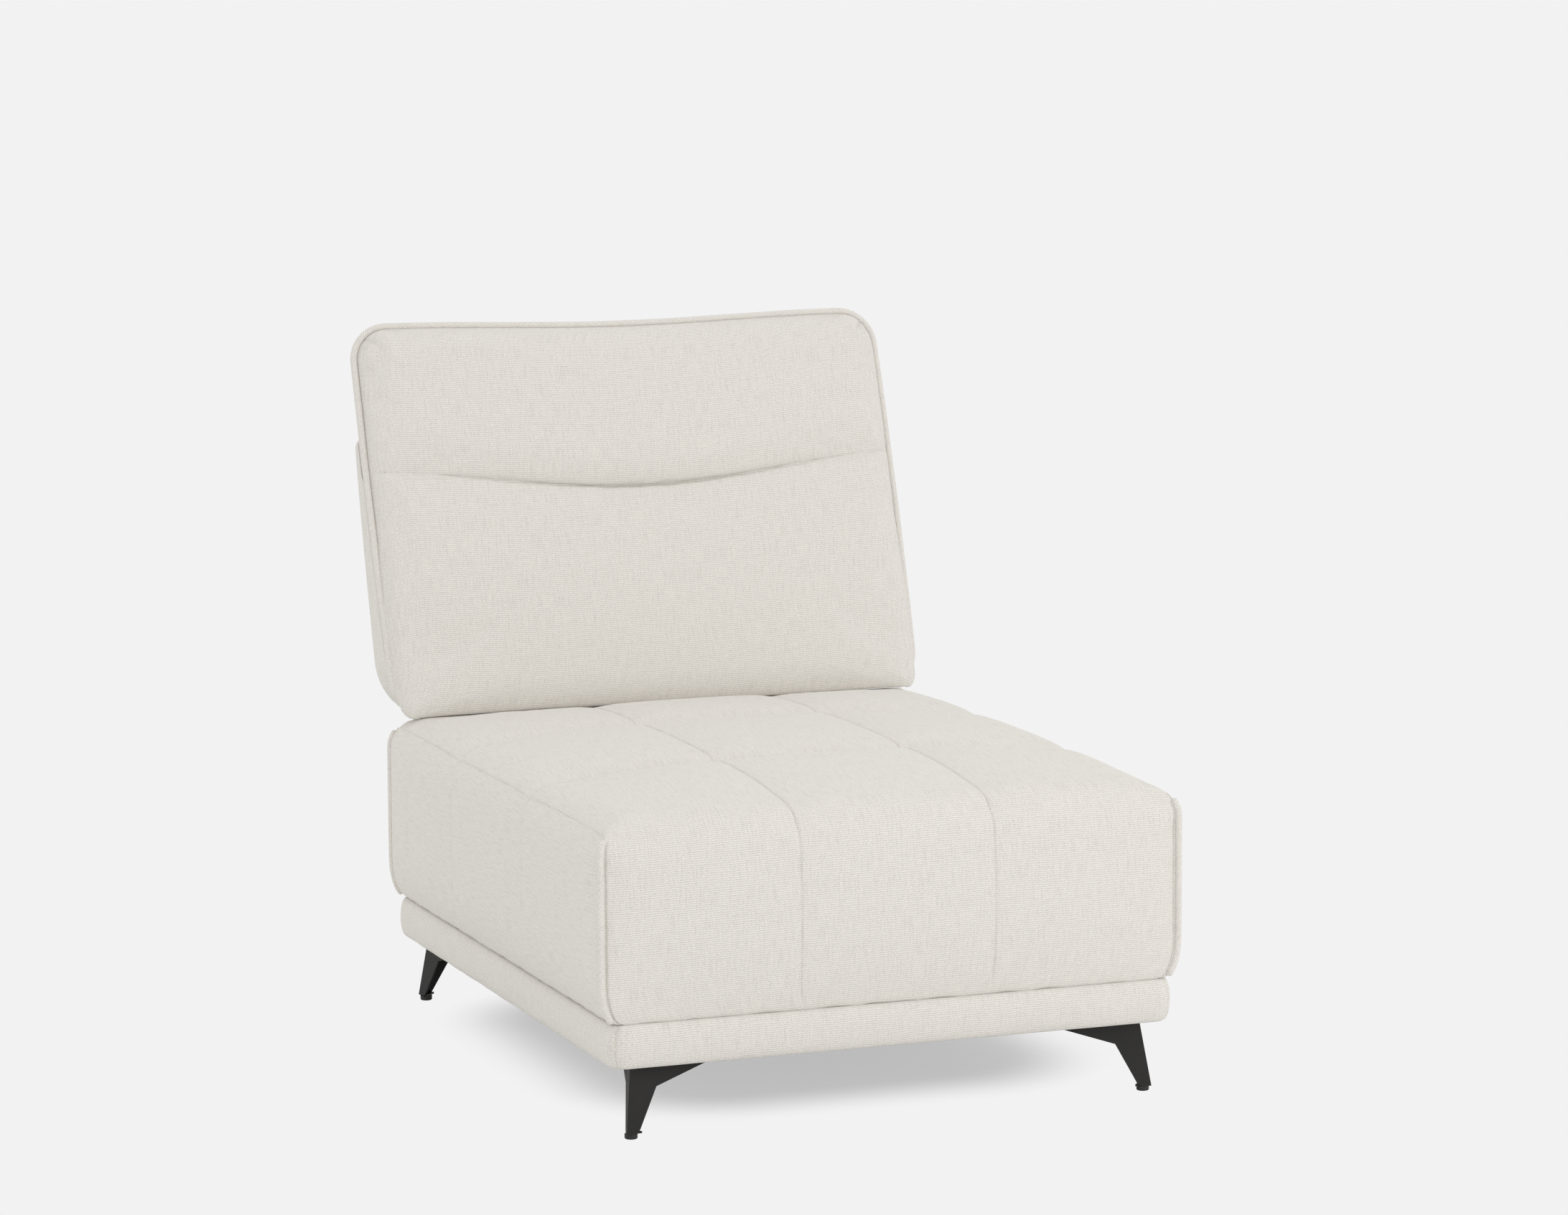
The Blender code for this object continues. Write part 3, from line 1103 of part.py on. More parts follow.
def main():
    chair = new_empty("chair", (0, 0, 0))
    base = new_empty("base", (0, 0, 0), chair)
    axis = to_back(RECLINE_AXIS_Y, RECLINE_AXIS_Z)
    back_pivot = new_empty("back_pivot", (0, RECLINE_AXIS_Y, RECLINE_AXIS_Z), chair, -BACK_RAKE)
    back = new_empty("back_frame", (0, -axis[0], -axis[1]), back_pivot)
    ratchet_axis = (0, RATCHET_AXIS_DEPTH, RATCHET_AXIS_HEIGHT)
    headrest_pivot = new_empty("headrest_pivot", ratchet_axis, back)
    headrest = new_empty("headrest_frame", [-place_at for place_at in ratchet_axis], headrest_pivot)

    make_frame(base)
    make_springs(base)
    make_seat_cushion(base)
    make_seat_pads(base)
    bore_pad_for_bosses(bpy.data.objects["seat_pad_rear"])
    make_corner_welts(base)
    make_base_bands(base)
    make_dust_cover(base)
    for name, side_x, side_y in CORNERS:
        make_leg(name, side_x, side_y, base)
    make_recline_hinges(base, back)
    make_back_boards(back, headrest)
    make_back_cushion(back)
    make_rear_housing(back)
    make_pipings(back, headrest)
    make_headrest_cushion(headrest)
    make_headrest_rear_pad(headrest)
    make_ratchets(back, headrest)
    stand_on_origin(chair)
    for empty, limit in ((back_pivot, RECLINE_LIMIT), (headrest_pivot, HEADREST_TILT)):
        place_at = [round(part_way, 5) for part_way in empty.matrix_world.translation]
        print(empty.name, place_at, "turns", round(math.degrees(limit), 2))


CORNERS = (("front_left", -1, -1), ("front_right", 1, -1), ("rear_left", -1, 1), ("rear_right", 1, 1))
SIDES = (("left", -1), ("right", 1))

clear_scene()
parts = new_collection("reclining_chair")
cutters = new_collection("cutters")
cutters.hide_render = True
main()
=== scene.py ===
import json
import math
from functools import partial

import bmesh
import bpy
import numpy as np
from mathutils import Matrix, Vector


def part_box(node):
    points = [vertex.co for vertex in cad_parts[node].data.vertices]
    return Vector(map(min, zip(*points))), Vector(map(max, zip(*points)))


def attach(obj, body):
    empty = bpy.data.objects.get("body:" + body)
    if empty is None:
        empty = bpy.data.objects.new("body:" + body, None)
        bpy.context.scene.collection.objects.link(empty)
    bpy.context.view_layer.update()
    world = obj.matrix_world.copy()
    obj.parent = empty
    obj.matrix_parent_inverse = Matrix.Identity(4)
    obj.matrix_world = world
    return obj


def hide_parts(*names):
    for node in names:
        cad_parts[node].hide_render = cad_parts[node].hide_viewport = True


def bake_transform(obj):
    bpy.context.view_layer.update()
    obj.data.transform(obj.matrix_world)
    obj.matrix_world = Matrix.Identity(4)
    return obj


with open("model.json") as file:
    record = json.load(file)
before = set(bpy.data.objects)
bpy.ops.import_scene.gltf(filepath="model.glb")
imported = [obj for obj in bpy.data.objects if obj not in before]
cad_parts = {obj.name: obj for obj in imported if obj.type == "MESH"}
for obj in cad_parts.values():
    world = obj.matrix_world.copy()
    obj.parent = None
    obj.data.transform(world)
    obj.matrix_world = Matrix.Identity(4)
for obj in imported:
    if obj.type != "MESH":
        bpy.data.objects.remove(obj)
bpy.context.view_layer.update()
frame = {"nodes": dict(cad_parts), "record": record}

scene = bpy.context.scene
seatLow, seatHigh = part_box("seat_cushion")
seatMiddle = (seatLow.y + seatHigh.y) / 2          # the seat block stands a little forward of the origin


def toLinear(hexColour):
    parts = [int(hexColour[place:place + 2], 16) / 255 for place in (1, 3, 5)]
    return (*[part / 12.92 if part <= 0.04045 else ((part + 0.055) / 1.055) ** 2.4 for part in parts], 1)


def plug(node, inputs):
    # inputs take plain values, hex colours, sockets, or nodes, whose first live output is linked
    for name, value in inputs.items():
        if isinstance(value, str):
            value = toLinear(value)
        elif isinstance(value, bpy.types.Node):
            value = next(output for output in value.outputs if output.enabled)
        if isinstance(value, bpy.types.NodeSocket):
            node.id_data.links.new(value, node.inputs[name])
        else:
            node.inputs[name].default_value = value
    return node


def addNode(tree, kind, inputs=None, operation=None, **settings):
    node = tree.nodes.new("ShaderNode" + kind)
    for name, value in (settings | ({"operation": operation} if operation else {})).items():
        setattr(node, name, value)
    return plug(node, inputs or {})


def newMaterial(name):
    material = bpy.data.materials.new(name)
    material.use_nodes = True
    return material, material.node_tree.nodes["Principled BSDF"], partial(addNode, material.node_tree)


def unit(value):
    return np.clip(value, 0, 1)


def ease(value):
    value = unit(value)
    return value * value * (3 - 2 * value)


def spaced(low, high, step, ends=(), lines=(), fine=(0.0008, 0.0019, 0.0042, 0.009)):
    # places along a side: close together at both ends and beside each sewn line, a plain step between
    marks = [low, high, *lines]
    marks += [low + end for end in ends] + [high - end for end in ends]
    marks += [line + side * gap for line in lines for gap in fine for side in (-1, 1)]
    marks.sort()
    places = [marks[0]]
    for mark in marks[1:]:
        start = places[-1]
        gap = mark - start
        if gap > 1e-6:
            count = max(1, int(round(gap / step)))
            places += [start + gap * (number + 1) / count for number in range(count)]
    return np.array(places)


def rollEnds(radius, count=6):
    # offsets that follow a quarter round, so that a rolled edge stays round
    return [radius * (1 - math.cos(math.pi / 2 * number / count)) for number in range(1, count + 1)]


def quarterRound(share):
    return np.sqrt(unit(1 - (1 - unit(share)) ** 2))


def runLength(points, axis):
    # length along a grid's rows or columns, in metres
    steps = np.linalg.norm(np.diff(points, axis=axis), axis=2)
    start = np.zeros_like(np.take(steps, [0], axis=axis))
    return np.cumsum(np.concatenate([start, steps], axis=axis), axis=axis)


def runAlong(points):
    return np.concatenate([[0], np.cumsum(np.linalg.norm(np.diff(points, axis=0), axis=1))])


def newObject(name, data):
    made = bpy.data.objects.new(name, data)
    scene.collection.objects.link(made)
    return made


def sewn(name, *sheets):
    # one mesh from grids of (flat place, point, cloth place), turned over where a fourth entry says so;
    # grids meet where their flat places agree
    flat, points, cloth = (np.concatenate([sheet[part].reshape(-1, width) for sheet in sheets])
                           for part, width in enumerate((3, 3, 2)))
    keys = np.round(flat * 1e5).astype(np.int64)
    _, first, joined = np.unique(keys, axis=0, return_index=True, return_inverse=True)
    joined = joined.ravel()
    corners, start = [], 0
    for sheet in sheets:
        rows, columns = sheet[1].shape[:2]
        number = np.arange(rows * columns).reshape(rows, columns) + start
        quads = np.stack([number[:-1, :-1], number[:-1, 1:], number[1:, 1:], number[1:, :-1]], axis=-1)
        quads = quads.reshape(-1, 4)
        corners.append(quads[:, ::-1] if any(sheet[3:]) else quads)
        start += rows * columns
    # a corner that meets the one before it is dropped, so that a row may close to a point
    faces = []
    for quad in np.concatenate(corners).tolist():
        kept = [corner for place, corner in enumerate(quad) if joined[corner] != joined[quad[place - 1]]]
        if len(kept) > 2:
            faces.append(kept)
    mesh = bpy.data.meshes.new(name)
    mesh.from_pydata(points[first].tolist(), [], [joined[face].tolist() for face in faces])
    layer = mesh.uv_layers.new(name="clothPlace")
    layer.data.foreach_set("uv", cloth[np.concatenate(faces)].ravel().astype(np.float32))
    mesh.shade_smooth()
    return newObject(name, mesh), flat[first]


def openMesh(piece):
    bm = bmesh.new()
    bm.from_mesh(piece.data)
    return bm


def closeMesh(bm, piece, sharp=None):
    # faces outward, and edges sharper than the angle drawn hard
    bmesh.ops.recalc_face_normals(bm, faces=bm.faces)
    bm.to_mesh(piece.data)
    bm.free()
    if sharp:
        piece.data.shade_smooth()
        piece.data.set_sharp_from_angle(angle=math.radians(sharp))


def readPoints(mesh, what="co"):
    values = np.zeros(len(mesh.vertices) * 3)
    mesh.vertices.foreach_get(what, values)
    return values.reshape(-1, 3)


def setPoints(piece, points):
    piece.data.vertices.foreach_set("co", points.ravel())
    piece.data.update()


def inflate(piece, held, pressure, cap, stiffness=25, frames=20):
    # cloth under air pressure, sewn down where held, and no point moved further than the cap
    before = readPoints(piece.data)
    group = piece.vertex_groups.new(name="sewnDown")
    group.add(np.nonzero(held)[0].tolist(), 1.0, "REPLACE")
    cloth = piece.modifiers.new("Inflate", "CLOTH")
    for name, value in {"quality": 5, "mass": 0.3, "tension_stiffness": stiffness,
                        "compression_stiffness": stiffness, "shear_stiffness": stiffness / 2,
                        "bending_stiffness": 0.8, "use_pressure": True, "uniform_pressure_force": pressure,
                        "vertex_group_mass": "sewnDown"}.items():
        setattr(cloth.settings, name, value)
    cloth.settings.effector_weights.gravity = 0
    cloth.collision_settings.use_collision = False
    cloth.point_cache.frame_start = 1
    cloth.point_cache.frame_end = frames
    for number in range(1, frames + 1):
        scene.frame_set(number)
    moved = readPoints(piece.evaluated_get(bpy.context.evaluated_depsgraph_get()).to_mesh()) - before
    length = np.linalg.norm(moved, axis=1, keepdims=True)
    moved *= np.minimum(1, cap / np.maximum(length, 1e-9))
    piece.modifiers.remove(cloth)
    piece.vertex_groups.remove(group)
    setPoints(piece, before + moved)
    scene.frame_set(1)
    print(piece.name, "swelled by up to", round(float(length.max()) * 1000, 1), "mm")


def dress(piece, slotName, body, *nodes, fill=None):
    # the record's slot names the finish; the piece rides on the body and stands for the CAD nodes
    piece.data.materials.append(finishes[slotName])
    if body:
        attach(piece, body)
    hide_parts(*nodes)


def cordTube(name, path, radius, sides=14, closed=False):
    # a sewn cord: a tube along a path, its cloth place running along and round it
    ahead = np.roll(path, -1, axis=0) - np.roll(path, 1, axis=0)
    if not closed:
        ahead[0] = path[1] - path[0]
        ahead[-1] = path[-1] - path[-2]
    ahead /= np.linalg.norm(ahead, axis=1, keepdims=True)
    side = np.cross(ahead[0], (0.0, 0.3, 1.0))
    side /= np.linalg.norm(side)
    sidesAlong = []
    for way in ahead:
        side = side - way * side.dot(way)
        side /= np.linalg.norm(side)
        sidesAlong.append(side)
    sidesAlong = np.array(sidesAlong)
    over = np.cross(ahead, sidesAlong)
    if closed:                                      # the twist left over is shared out along the cord
        twist = math.atan2(sidesAlong[0].dot(over[-1]), sidesAlong[0].dot(sidesAlong[-1]))
        shares = np.linspace(0, 1, len(path))[:, None] * twist
        sidesAlong, over = (sidesAlong * np.cos(shares) + over * np.sin(shares),
                            over * np.cos(shares) - sidesAlong * np.sin(shares))
    angles = np.linspace(0, 2 * math.pi, sides + 1)
    rings = path[:, None] + radius * (np.cos(angles)[:, None] * sidesAlong[:, None]
                                      + np.sin(angles)[:, None] * over[:, None])
    rings[:, -1] = rings[:, 0]
    if closed:
        rings = np.concatenate([rings, rings[:1]])
    else:                                           # each end is drawn in to a blunt tip
        for end, inward in ((0, 1), (-1, -1)):
            centre = rings[end, :-1].mean(axis=0)
            tip = centre - ahead[end] * radius * 0.5 * inward
            cap = np.concatenate([[tip + (rings[end] - centre) * 0.7], np.tile(tip, (1, sides + 1, 1))])
            cap[0] += ahead[end] * radius * 0.15 * inward
            rings = np.concatenate([cap[::-1], rings] if end == 0 else [rings, cap])
    run = runAlong(rings.mean(axis=1))
    cloth = np.stack(np.broadcast_arrays(run[:, None], angles[None, :] * radius), axis=-1)
    piece, _ = sewn(name, (rings, rings, cloth))
    closeMesh(openMesh(piece), piece)
    return piece


# Linen-look rib weave in polyester and cotton, yarn dyed and piece washed: fine level ribs, thick and thin
# yarns, and a dry, slightly fuzzy face that never shines. Such ribs are about 1.5 mm apart; ribs and yarns
# are drawn as coarse as they need to show. Sizes are in millimetres.
# hollowShade is painted shade: the colour given to the weave's low places as the height falls through the shade
# range
ribWeave = {"ribPitch": 2.9, "yarnPitch": 2.2, "slubLength": 18, "slubWidth": 2.4, "relief": 0.38,
            "yarn": "#EDEAE4", "hollowShade": "#C9C4BC", "warm": "#F0ECE2", "cool": "#ECEBEB", "tintShare": 0.3,
            "ribSway": 1.2, "yarnSway": 1.6, "ribShare": 0.42, "slubShare": 0.5, "fuzzShare": 1.5,
            "fuzzScale": 0.55, "level": -0.90, "brushedRibs": 0.15, "brushedLift": 0.13, "shade": (-0.03, 0.515),
            "roughness": 0.92, "sheen": 0.12, "ior": 1.5}


def makeRibWeave(name, turn=0.0, look=ribWeave):
    material, shader, add = newMaterial(name)
    place = add("UVMap", uv_map="clothPlace")
    if turn:
        place = add("VectorRotate", {"Vector": place, "Angle": turn}, rotation_type="Z_AXIS")
    inMillimetres = add("VectorMath", {0: place, 1: (1000, 1000, 0)}, "MULTIPLY")
    split = add("SeparateXYZ", {"Vector": inMillimetres})
    # slubs: thick and thin places, long along each yarn
    slubs = []
    for scale in ((1 / look["slubLength"], 1 / look["slubWidth"], 0),
                  (1 / look["slubWidth"], 0.6 / look["slubLength"], 0)):
        drawn = add("VectorMath", {0: inMillimetres, 1: scale}, "MULTIPLY")
        slubs.append(add("TexNoise", {"Vector": drawn, "Scale": 1.0, "Detail": 2.0}))
    weft, warp = slubs
    # ribs and the yarns that cross them, one row set half a yarn over from the next
    ribTurn = add("Math", {0: split.outputs["Y"], 1: 2 * math.pi / look["ribPitch"]}, "MULTIPLY")
    ribSway = add("Math", {0: weft, 1: look["ribSway"], 2: ribTurn}, "MULTIPLY_ADD")
    rib = add("Math", {0: ribSway}, "SINE")
    row = add("Math", {0: split.outputs["Y"], 1: 1 / look["ribPitch"]}, "MULTIPLY")
    rowNumber = add("Math", {0: row}, "FLOOR")
    yarnTurn = add("Math", {0: split.outputs["X"], 1: 2 * math.pi / look["yarnPitch"]}, "MULTIPLY")
    yarnShift = add("Math", {0: rowNumber, 1: math.pi, 2: yarnTurn}, "MULTIPLY_ADD")
    yarnSway = add("Math", {0: warp, 1: look["yarnSway"], 2: yarnShift}, "MULTIPLY_ADD")
    yarn = add("Math", {0: yarnSway}, "SINE")
    ribHeight = add("MapRange", {"Value": rib, "From Min": -1.0})
    yarnHeight = add("MapRange", {"Value": yarn, "From Min": -1.0, "To Min": 0.45})
    weave = add("Math", {0: ribHeight, 1: yarnHeight}, "MULTIPLY")
    # where the cloth is brushed, on the seat's top and sides, loose fibres hide the ribs
    brushed = add("Attribute", attribute_name="brushed").outputs["Fac"]
    ribShare = add("Math", {0: brushed, 1: (look["brushedRibs"] - 1) * look["ribShare"], 2: look["ribShare"]},
                   "MULTIPLY_ADD")
    level = add("Math", {0: brushed, 1: look["brushedLift"], 2: look["level"]}, "MULTIPLY_ADD")
    fuzz = add("TexNoise", {"Vector": inMillimetres, "Scale": look["fuzzScale"], "Detail": 3.0, "Roughness": 0.8})
    calmed = add("Math", {0: weave, 1: ribShare, 2: level}, "MULTIPLY_ADD")
    slubby = add("Math", {0: warp, 1: look["slubShare"], 2: calmed}, "MULTIPLY_ADD")
    height = add("Math", {0: fuzz, 1: look["fuzzShare"], 2: slubby}, "MULTIPLY_ADD")
    # colour: yarn on the ribs, painted shade in the hollows, darker as the weave's height falls; some yarns warmer
    # and some cooler
    low, high = look["shade"]
    deep = add("MapRange", {"Value": height, "From Min": low, "From Max": high})
    colour = add("Mix", {0: deep, 6: look["hollowShade"], 7: look["yarn"]}, data_type="RGBA")
    for slub, tint in ((warp, look["warm"]), (weft, look["cool"])):
        places = add("MapRange", {"Value": slub, "From Min": 0.5, "From Max": 0.75, "To Max": look["tintShare"]})
        colour = add("Mix", {0: places, 6: colour, 7: tint}, data_type="RGBA", blend_type="MULTIPLY")
    bump = add("Bump", {"Height": height, "Strength": 0.6, "Distance": look["relief"] / 1000})
    plug(shader, {"Base Color": colour, "Normal": bump, "Roughness": look["roughness"], "IOR": look["ior"],
                  "Sheen Weight": look["sheen"], "Sheen Roughness": 0.5})
    return material


# Mild steel plate, bent and powder coated satin black: a very fine orange peel, 0.9 mm across, and a soft,
# wide highlight.
powderCoat = {"colours": ("#191716", "#211F1E"), "cloud": {"Scale": 22.0, "Detail": 4.0},
              "shown": {"From Min": 0.4, "From Max": 0.75}, "fine": {"Scale": 1000 / 0.9, "Detail": 2.0},
              "bump": {"Strength": 0.4, "Distance": 0.00003}, "rough": {"To Min": 0.42, "To Max": 0.56},
              "shader": {"IOR": 1.5, "Specular IOR Level": 0.3}}

# Bright metals, with a grain of 3 mm and 1.5 mm: zinc plate has a cloudy, slightly yellow passivated look,
# and drawn spring wire is darker and oiled.
zincPlate = {"colours": ("#8F8E88", "#B9B7AE"), "cloud": {"Scale": 1000 / 3.0, "Detail": 5.0},
             "bump": {"Strength": 0.2, "Distance": 0.0001}, "rough": {"To Min": 0.24, "To Max": 0.44},
             "shader": {"Metallic": 1.0}}
springWire = {**zincPlate, "colours": ("#37373A", "#5D5D60"), "cloud": {"Scale": 1000 / 1.5, "Detail": 5.0},
              "rough": {"To Min": 0.28, "To Max": 0.48}}

# Moulded nylon glide: dull black with a faint spark-eroded texture, scuffed grey in patches of about 3 mm.
nylon = {"colours": ("#1D1C1B", "#4A4744"), "cloud": {"Scale": 320.0, "Detail": 4.0},
         "shown": {"From Min": 0.55, "From Max": 0.8}, "bump": {"Strength": 0.3, "Distance": 0.0001},
         "shader": {"Roughness": 0.5, "IOR": 1.53}}

# Spun-bonded polypropylene lining: matt black felt with the square dimples, 1.6 mm apart, of the bonding roller.
felt = {"colours": ("#0E0E0E", "#171717"), "pattern": "TexVoronoi",
        "cloud": {"Scale": 1000 / 1.6, "Randomness": 0.25}, "bump": {"Strength": 0.4, "Distance": 0.0002},
        "shader": {"Roughness": 0.95, "IOR": 1.49}}


def makeFinish(name, look):
    # two colours in a cloudy pattern, with relief and often roughness that follow it
    material, shader, add = newMaterial(name)
    place = add("TexCoord").outputs["Object"]
    cloud = add(look.get("pattern", "TexNoise"), {"Vector": place, **look["cloud"]})
    relief = add("TexNoise", {"Vector": place, **look["fine"]}) if "fine" in look else cloud
    shown = add("MapRange", {"Value": cloud, **look["shown"]}) if "shown" in look else cloud
    tint = add("Mix", {0: shown, 6: look["colours"][0], 7: look["colours"][1]}, data_type="RGBA")
    bump = add("Bump", {"Height": relief, **look["bump"]})
    plug(shader, {"Base Color": tint, "Normal": bump, **look["shader"]})
    if "rough" in look:
        plug(shader, {"Roughness": add("MapRange", {"Value": cloud, **look["rough"]})})
    return material


# Timber: sawn pine has wide yellow rings; birch plywood shows pale veneers, a dark glue line every 1.4 mm
# on its edges and a calm rotary cut figure on its faces.
sawnPine = {"early": "#E2C08D", "late": "#B98A52", "ring": 7.0, "roughness": 0.62}
birchPly = {"early": "#DCC39A", "late": "#C3A375", "ring": 16.0, "roughness": 0.55, "glue": "#6E5234", "ply": 1.4}


def makeTimber(name, look):
    material, shader, add = newMaterial(name)
    place = add("TexCoord").outputs["Object"]
    drawn = add("VectorMath", {0: place, 1: (0.12, 1.0, 1.0)}, "MULTIPLY")
    rings = add("TexWave", {"Vector": drawn, "Scale": 160 / look["ring"], "Distortion": 6.0, "Detail": 3.0,
                            "Detail Scale": 1.4}, bands_direction="DIAGONAL")
    colour = add("Mix", {0: rings.outputs["Fac"], 6: look["early"], 7: look["late"]}, data_type="RGBA")
    if "ply" in look:
        split = add("SeparateXYZ", {"Vector": place})
        turns = add("Math", {0: split.outputs["Y"], 1: 1000 / look["ply"]}, "MULTIPLY")
        part = add("Math", {0: turns}, "FRACT")
        line = add("Math", {0: part, 1: 0.14}, "LESS_THAN")
        faint = add("Math", {0: line, 1: 0.35}, "MULTIPLY")
        colour = add("Mix", {0: faint, 6: colour, 7: look["glue"]}, data_type="RGBA")
    pores = add("TexNoise", {"Vector": drawn, "Scale": 900.0, "Detail": 2.0})
    bump = add("Bump", {"Height": pores, "Strength": 0.3, "Distance": 0.0002})
    plug(shader, {"Base Color": colour, "Normal": bump, "Roughness": look["roughness"], "IOR": 1.52})
    return material


# One finish for each slot of the record; the welts' cloth is cut on the slant over a cord.
finishes = {"woven_fabric": makeRibWeave("linenRibWeave"),
            "welt_fabric": makeRibWeave("linenRibWeaveOnTheBias", math.radians(45)),
            "black_steel": makeFinish("powderCoatedSteelBlack", powderCoat),
            "zinc_steel": makeFinish("zincPlatedSteel", zincPlate),
            "spring_steel": makeFinish("drawnSpringWire", springWire),
            "glide_plastic": makeFinish("mouldedNylon", nylon), "lining": makeFinish("spunBondedLining", felt),
            "timber": makeTimber("sawnPine", sawnPine), "plywood": makeTimber("birchPlywood", birchPly)}
for part in frame["record"]["subparts"]:
    for slot in frame["nodes"][part["node"]].material_slots:
        slot.link = "OBJECT"
        slot.material = finishes[part["material_slot"]]
print("materials made")

# The seat block: one cover over top, front, rear and sides, sewn down in three by three channels.
seat = {"halfWide": 0.4085, "halfLong": 0.4725, "footHalfWide": 0.3865, "footHalfLong": 0.4705,
        "parting": 0.1535, "top": 0.4115, "tuck": 0.058, "edge": 0.039, "squareness": 8,
        "crown": 0.030, "crownPower": 2.8, "frontCrown": 0.014, "sideCrown": 0.004, "rearLift": 0.005,
        "channels": 3, "channelDepth": 0.0085, "channelSpread": 0.020, "wallShare": 0.16, "crossShare": 0.35,
        "acrossShare": 0.42, "puff": 0.0066, "calmFrom": 0.12, "calmRun": 0.10, "sideCalm": 0.75,
        "seamCalm": 0.6, "seamDepth": 0.0016, "seamWidth": 0.0013, "weltSeam": 0.0078, "weltSeamDepth": 0.0022,
        "weltSeamTop": 0.399, "underBack": 0.4172, "underBackFrom": 0.398, "underBackSlope": 0.35,
        "underBackRound": 0.0012, "gather": 0.0007, "gatherHigh": 0.018, "brushedFrom": 0.12, "step": 0.0095,
        "pressure": 2.0, "cap": 0.0025}


def channelLines(half):
    return [half * (2 * number / seat["channels"] - 1) for number in range(1, seat["channels"])]


def channelDip(at, half, facing):
    # 1 along a channel's bottom, less where the cover turns to face along that axis
    dip = sum(np.exp(-((at - line) / seat["channelSpread"]) ** 2) for line in channelLines(half))
    return dip * (1 - np.abs(facing)) ** 2


def nearSide(x):
    # grows to 1 towards the seat's left and right edges, where the cross channels are fainter
    return ease((np.abs(x) - seat["halfWide"] + seat["calmFrom"]) / seat["calmRun"])


def sectionSwell(x, y):
    # how far a place swells: least on the sewn lines and at the cover's corners
    rise = np.ones_like(x)
    corner = np.ones_like(x)
    for at, half, drawn in ((x, seat["halfWide"], seat["acrossShare"]), (y, seat["halfLong"], 1)):
        share = np.minimum(1, np.abs(at) / half) * seat["channels"]
        inner = np.cos(np.minimum(1, share) * math.pi / 2)
        outer = np.sin(unit(share - 1) * math.pi / 2)
        rise = rise * (1 - drawn + drawn * np.sqrt(np.maximum(np.maximum(inner, outer), 0)))
        corner = corner * np.maximum(0, share - 1) / (seat["channels"] - 1)
    return rise * (1 - corner)


def seatSkin(flat):
    # a point of the seat's plain block goes to the soft cover
    wide, long, low, high, radius = (seat[key] for key in ("halfWide", "halfLong", "parting", "top", "edge"))
    x, y, z = np.moveaxis(flat, -1, 0)
    signs = np.stack([np.sign(x), np.sign(y), np.ones_like(z)], axis=-1)
    # how far a point lies past the core, and the way out from there, drawn in to a round edge
    past = np.maximum(0, np.stack([np.abs(x) - wide, np.abs(y) - long, z - high], axis=-1) + radius)
    level = (past[..., :2] ** seat["squareness"]).sum(axis=-1) ** (1 / seat["squareness"])
    reach = np.maximum(np.hypot(level, past[..., 2]), 1e-9)
    way = signs * past * (past.max(axis=-1) / reach)[..., None]
    normal = way / np.maximum(np.linalg.norm(way, axis=-1, keepdims=True), 1e-9)
    topShare = unit(normal[..., 2])
    tuck = np.sqrt(1 - (1 - unit((z - low) / seat["tuck"])) ** 2)
    # channels, deepest on top and where two cross
    dipX = channelDip(x, wide, normal[..., 0]) * seat["acrossShare"]
    dipY = channelDip(y, long, normal[..., 1]) * (1 - seat["sideCalm"] * nearSide(x))
    drawn = seat["channelDepth"] * (seat["wallShare"] + (1 - seat["wallShare"]) * topShare) \
        * np.maximum(dipX, dipY) * tuck
    drawn = drawn + seat["crossShare"] * seat["channelDepth"] * dipX * dipY * topShare
    swell = seat["puff"] * sectionSwell(x, y) * topShare
    points = flat - signs * past + way + normal * (swell - drawn)[..., None]
    # the top's crown, its lift behind, and its rest under the back's foot
    crown = (1 - np.abs(x / wide) ** seat["crownPower"]) * (1 - np.abs(y / long) ** seat["crownPower"])
    lifted = seat["crown"] * crown * np.minimum(1, past[..., 2] / radius)
    height = points[..., 2] + (lifted + seat["rearLift"] * unit(y / long) * topShare)
    limit = seat["underBack"] + seat["underBackSlope"] * np.maximum(0, seat["underBackFrom"] - y)
    soft = seat["underBackRound"]
    points[..., 2] = limit - soft * np.logaddexp(0, (limit - height) / soft)
    # the front and the sides stand out a little, and the foot is tucked in all round
    belly = np.sin(unit((z - low) / (high - low)) ** 0.8 * math.pi * 0.92)
    points[..., 1] -= seat["frontCrown"] * unit(-normal[..., 1]) ** 2 * (1 - (x / wide) ** 2) * belly
    points[..., 0] += np.sign(x) * seat["sideCrown"] * np.abs(normal[..., 0]) ** 2 * (1 - (y / long) ** 2) * belly
    for axis, (half, foot) in enumerate(((wide, seat["footHalfWide"]), (long, seat["footHalfLong"]))):
        points[..., axis] *= (foot + (half - foot) * tuck) / half
    return points


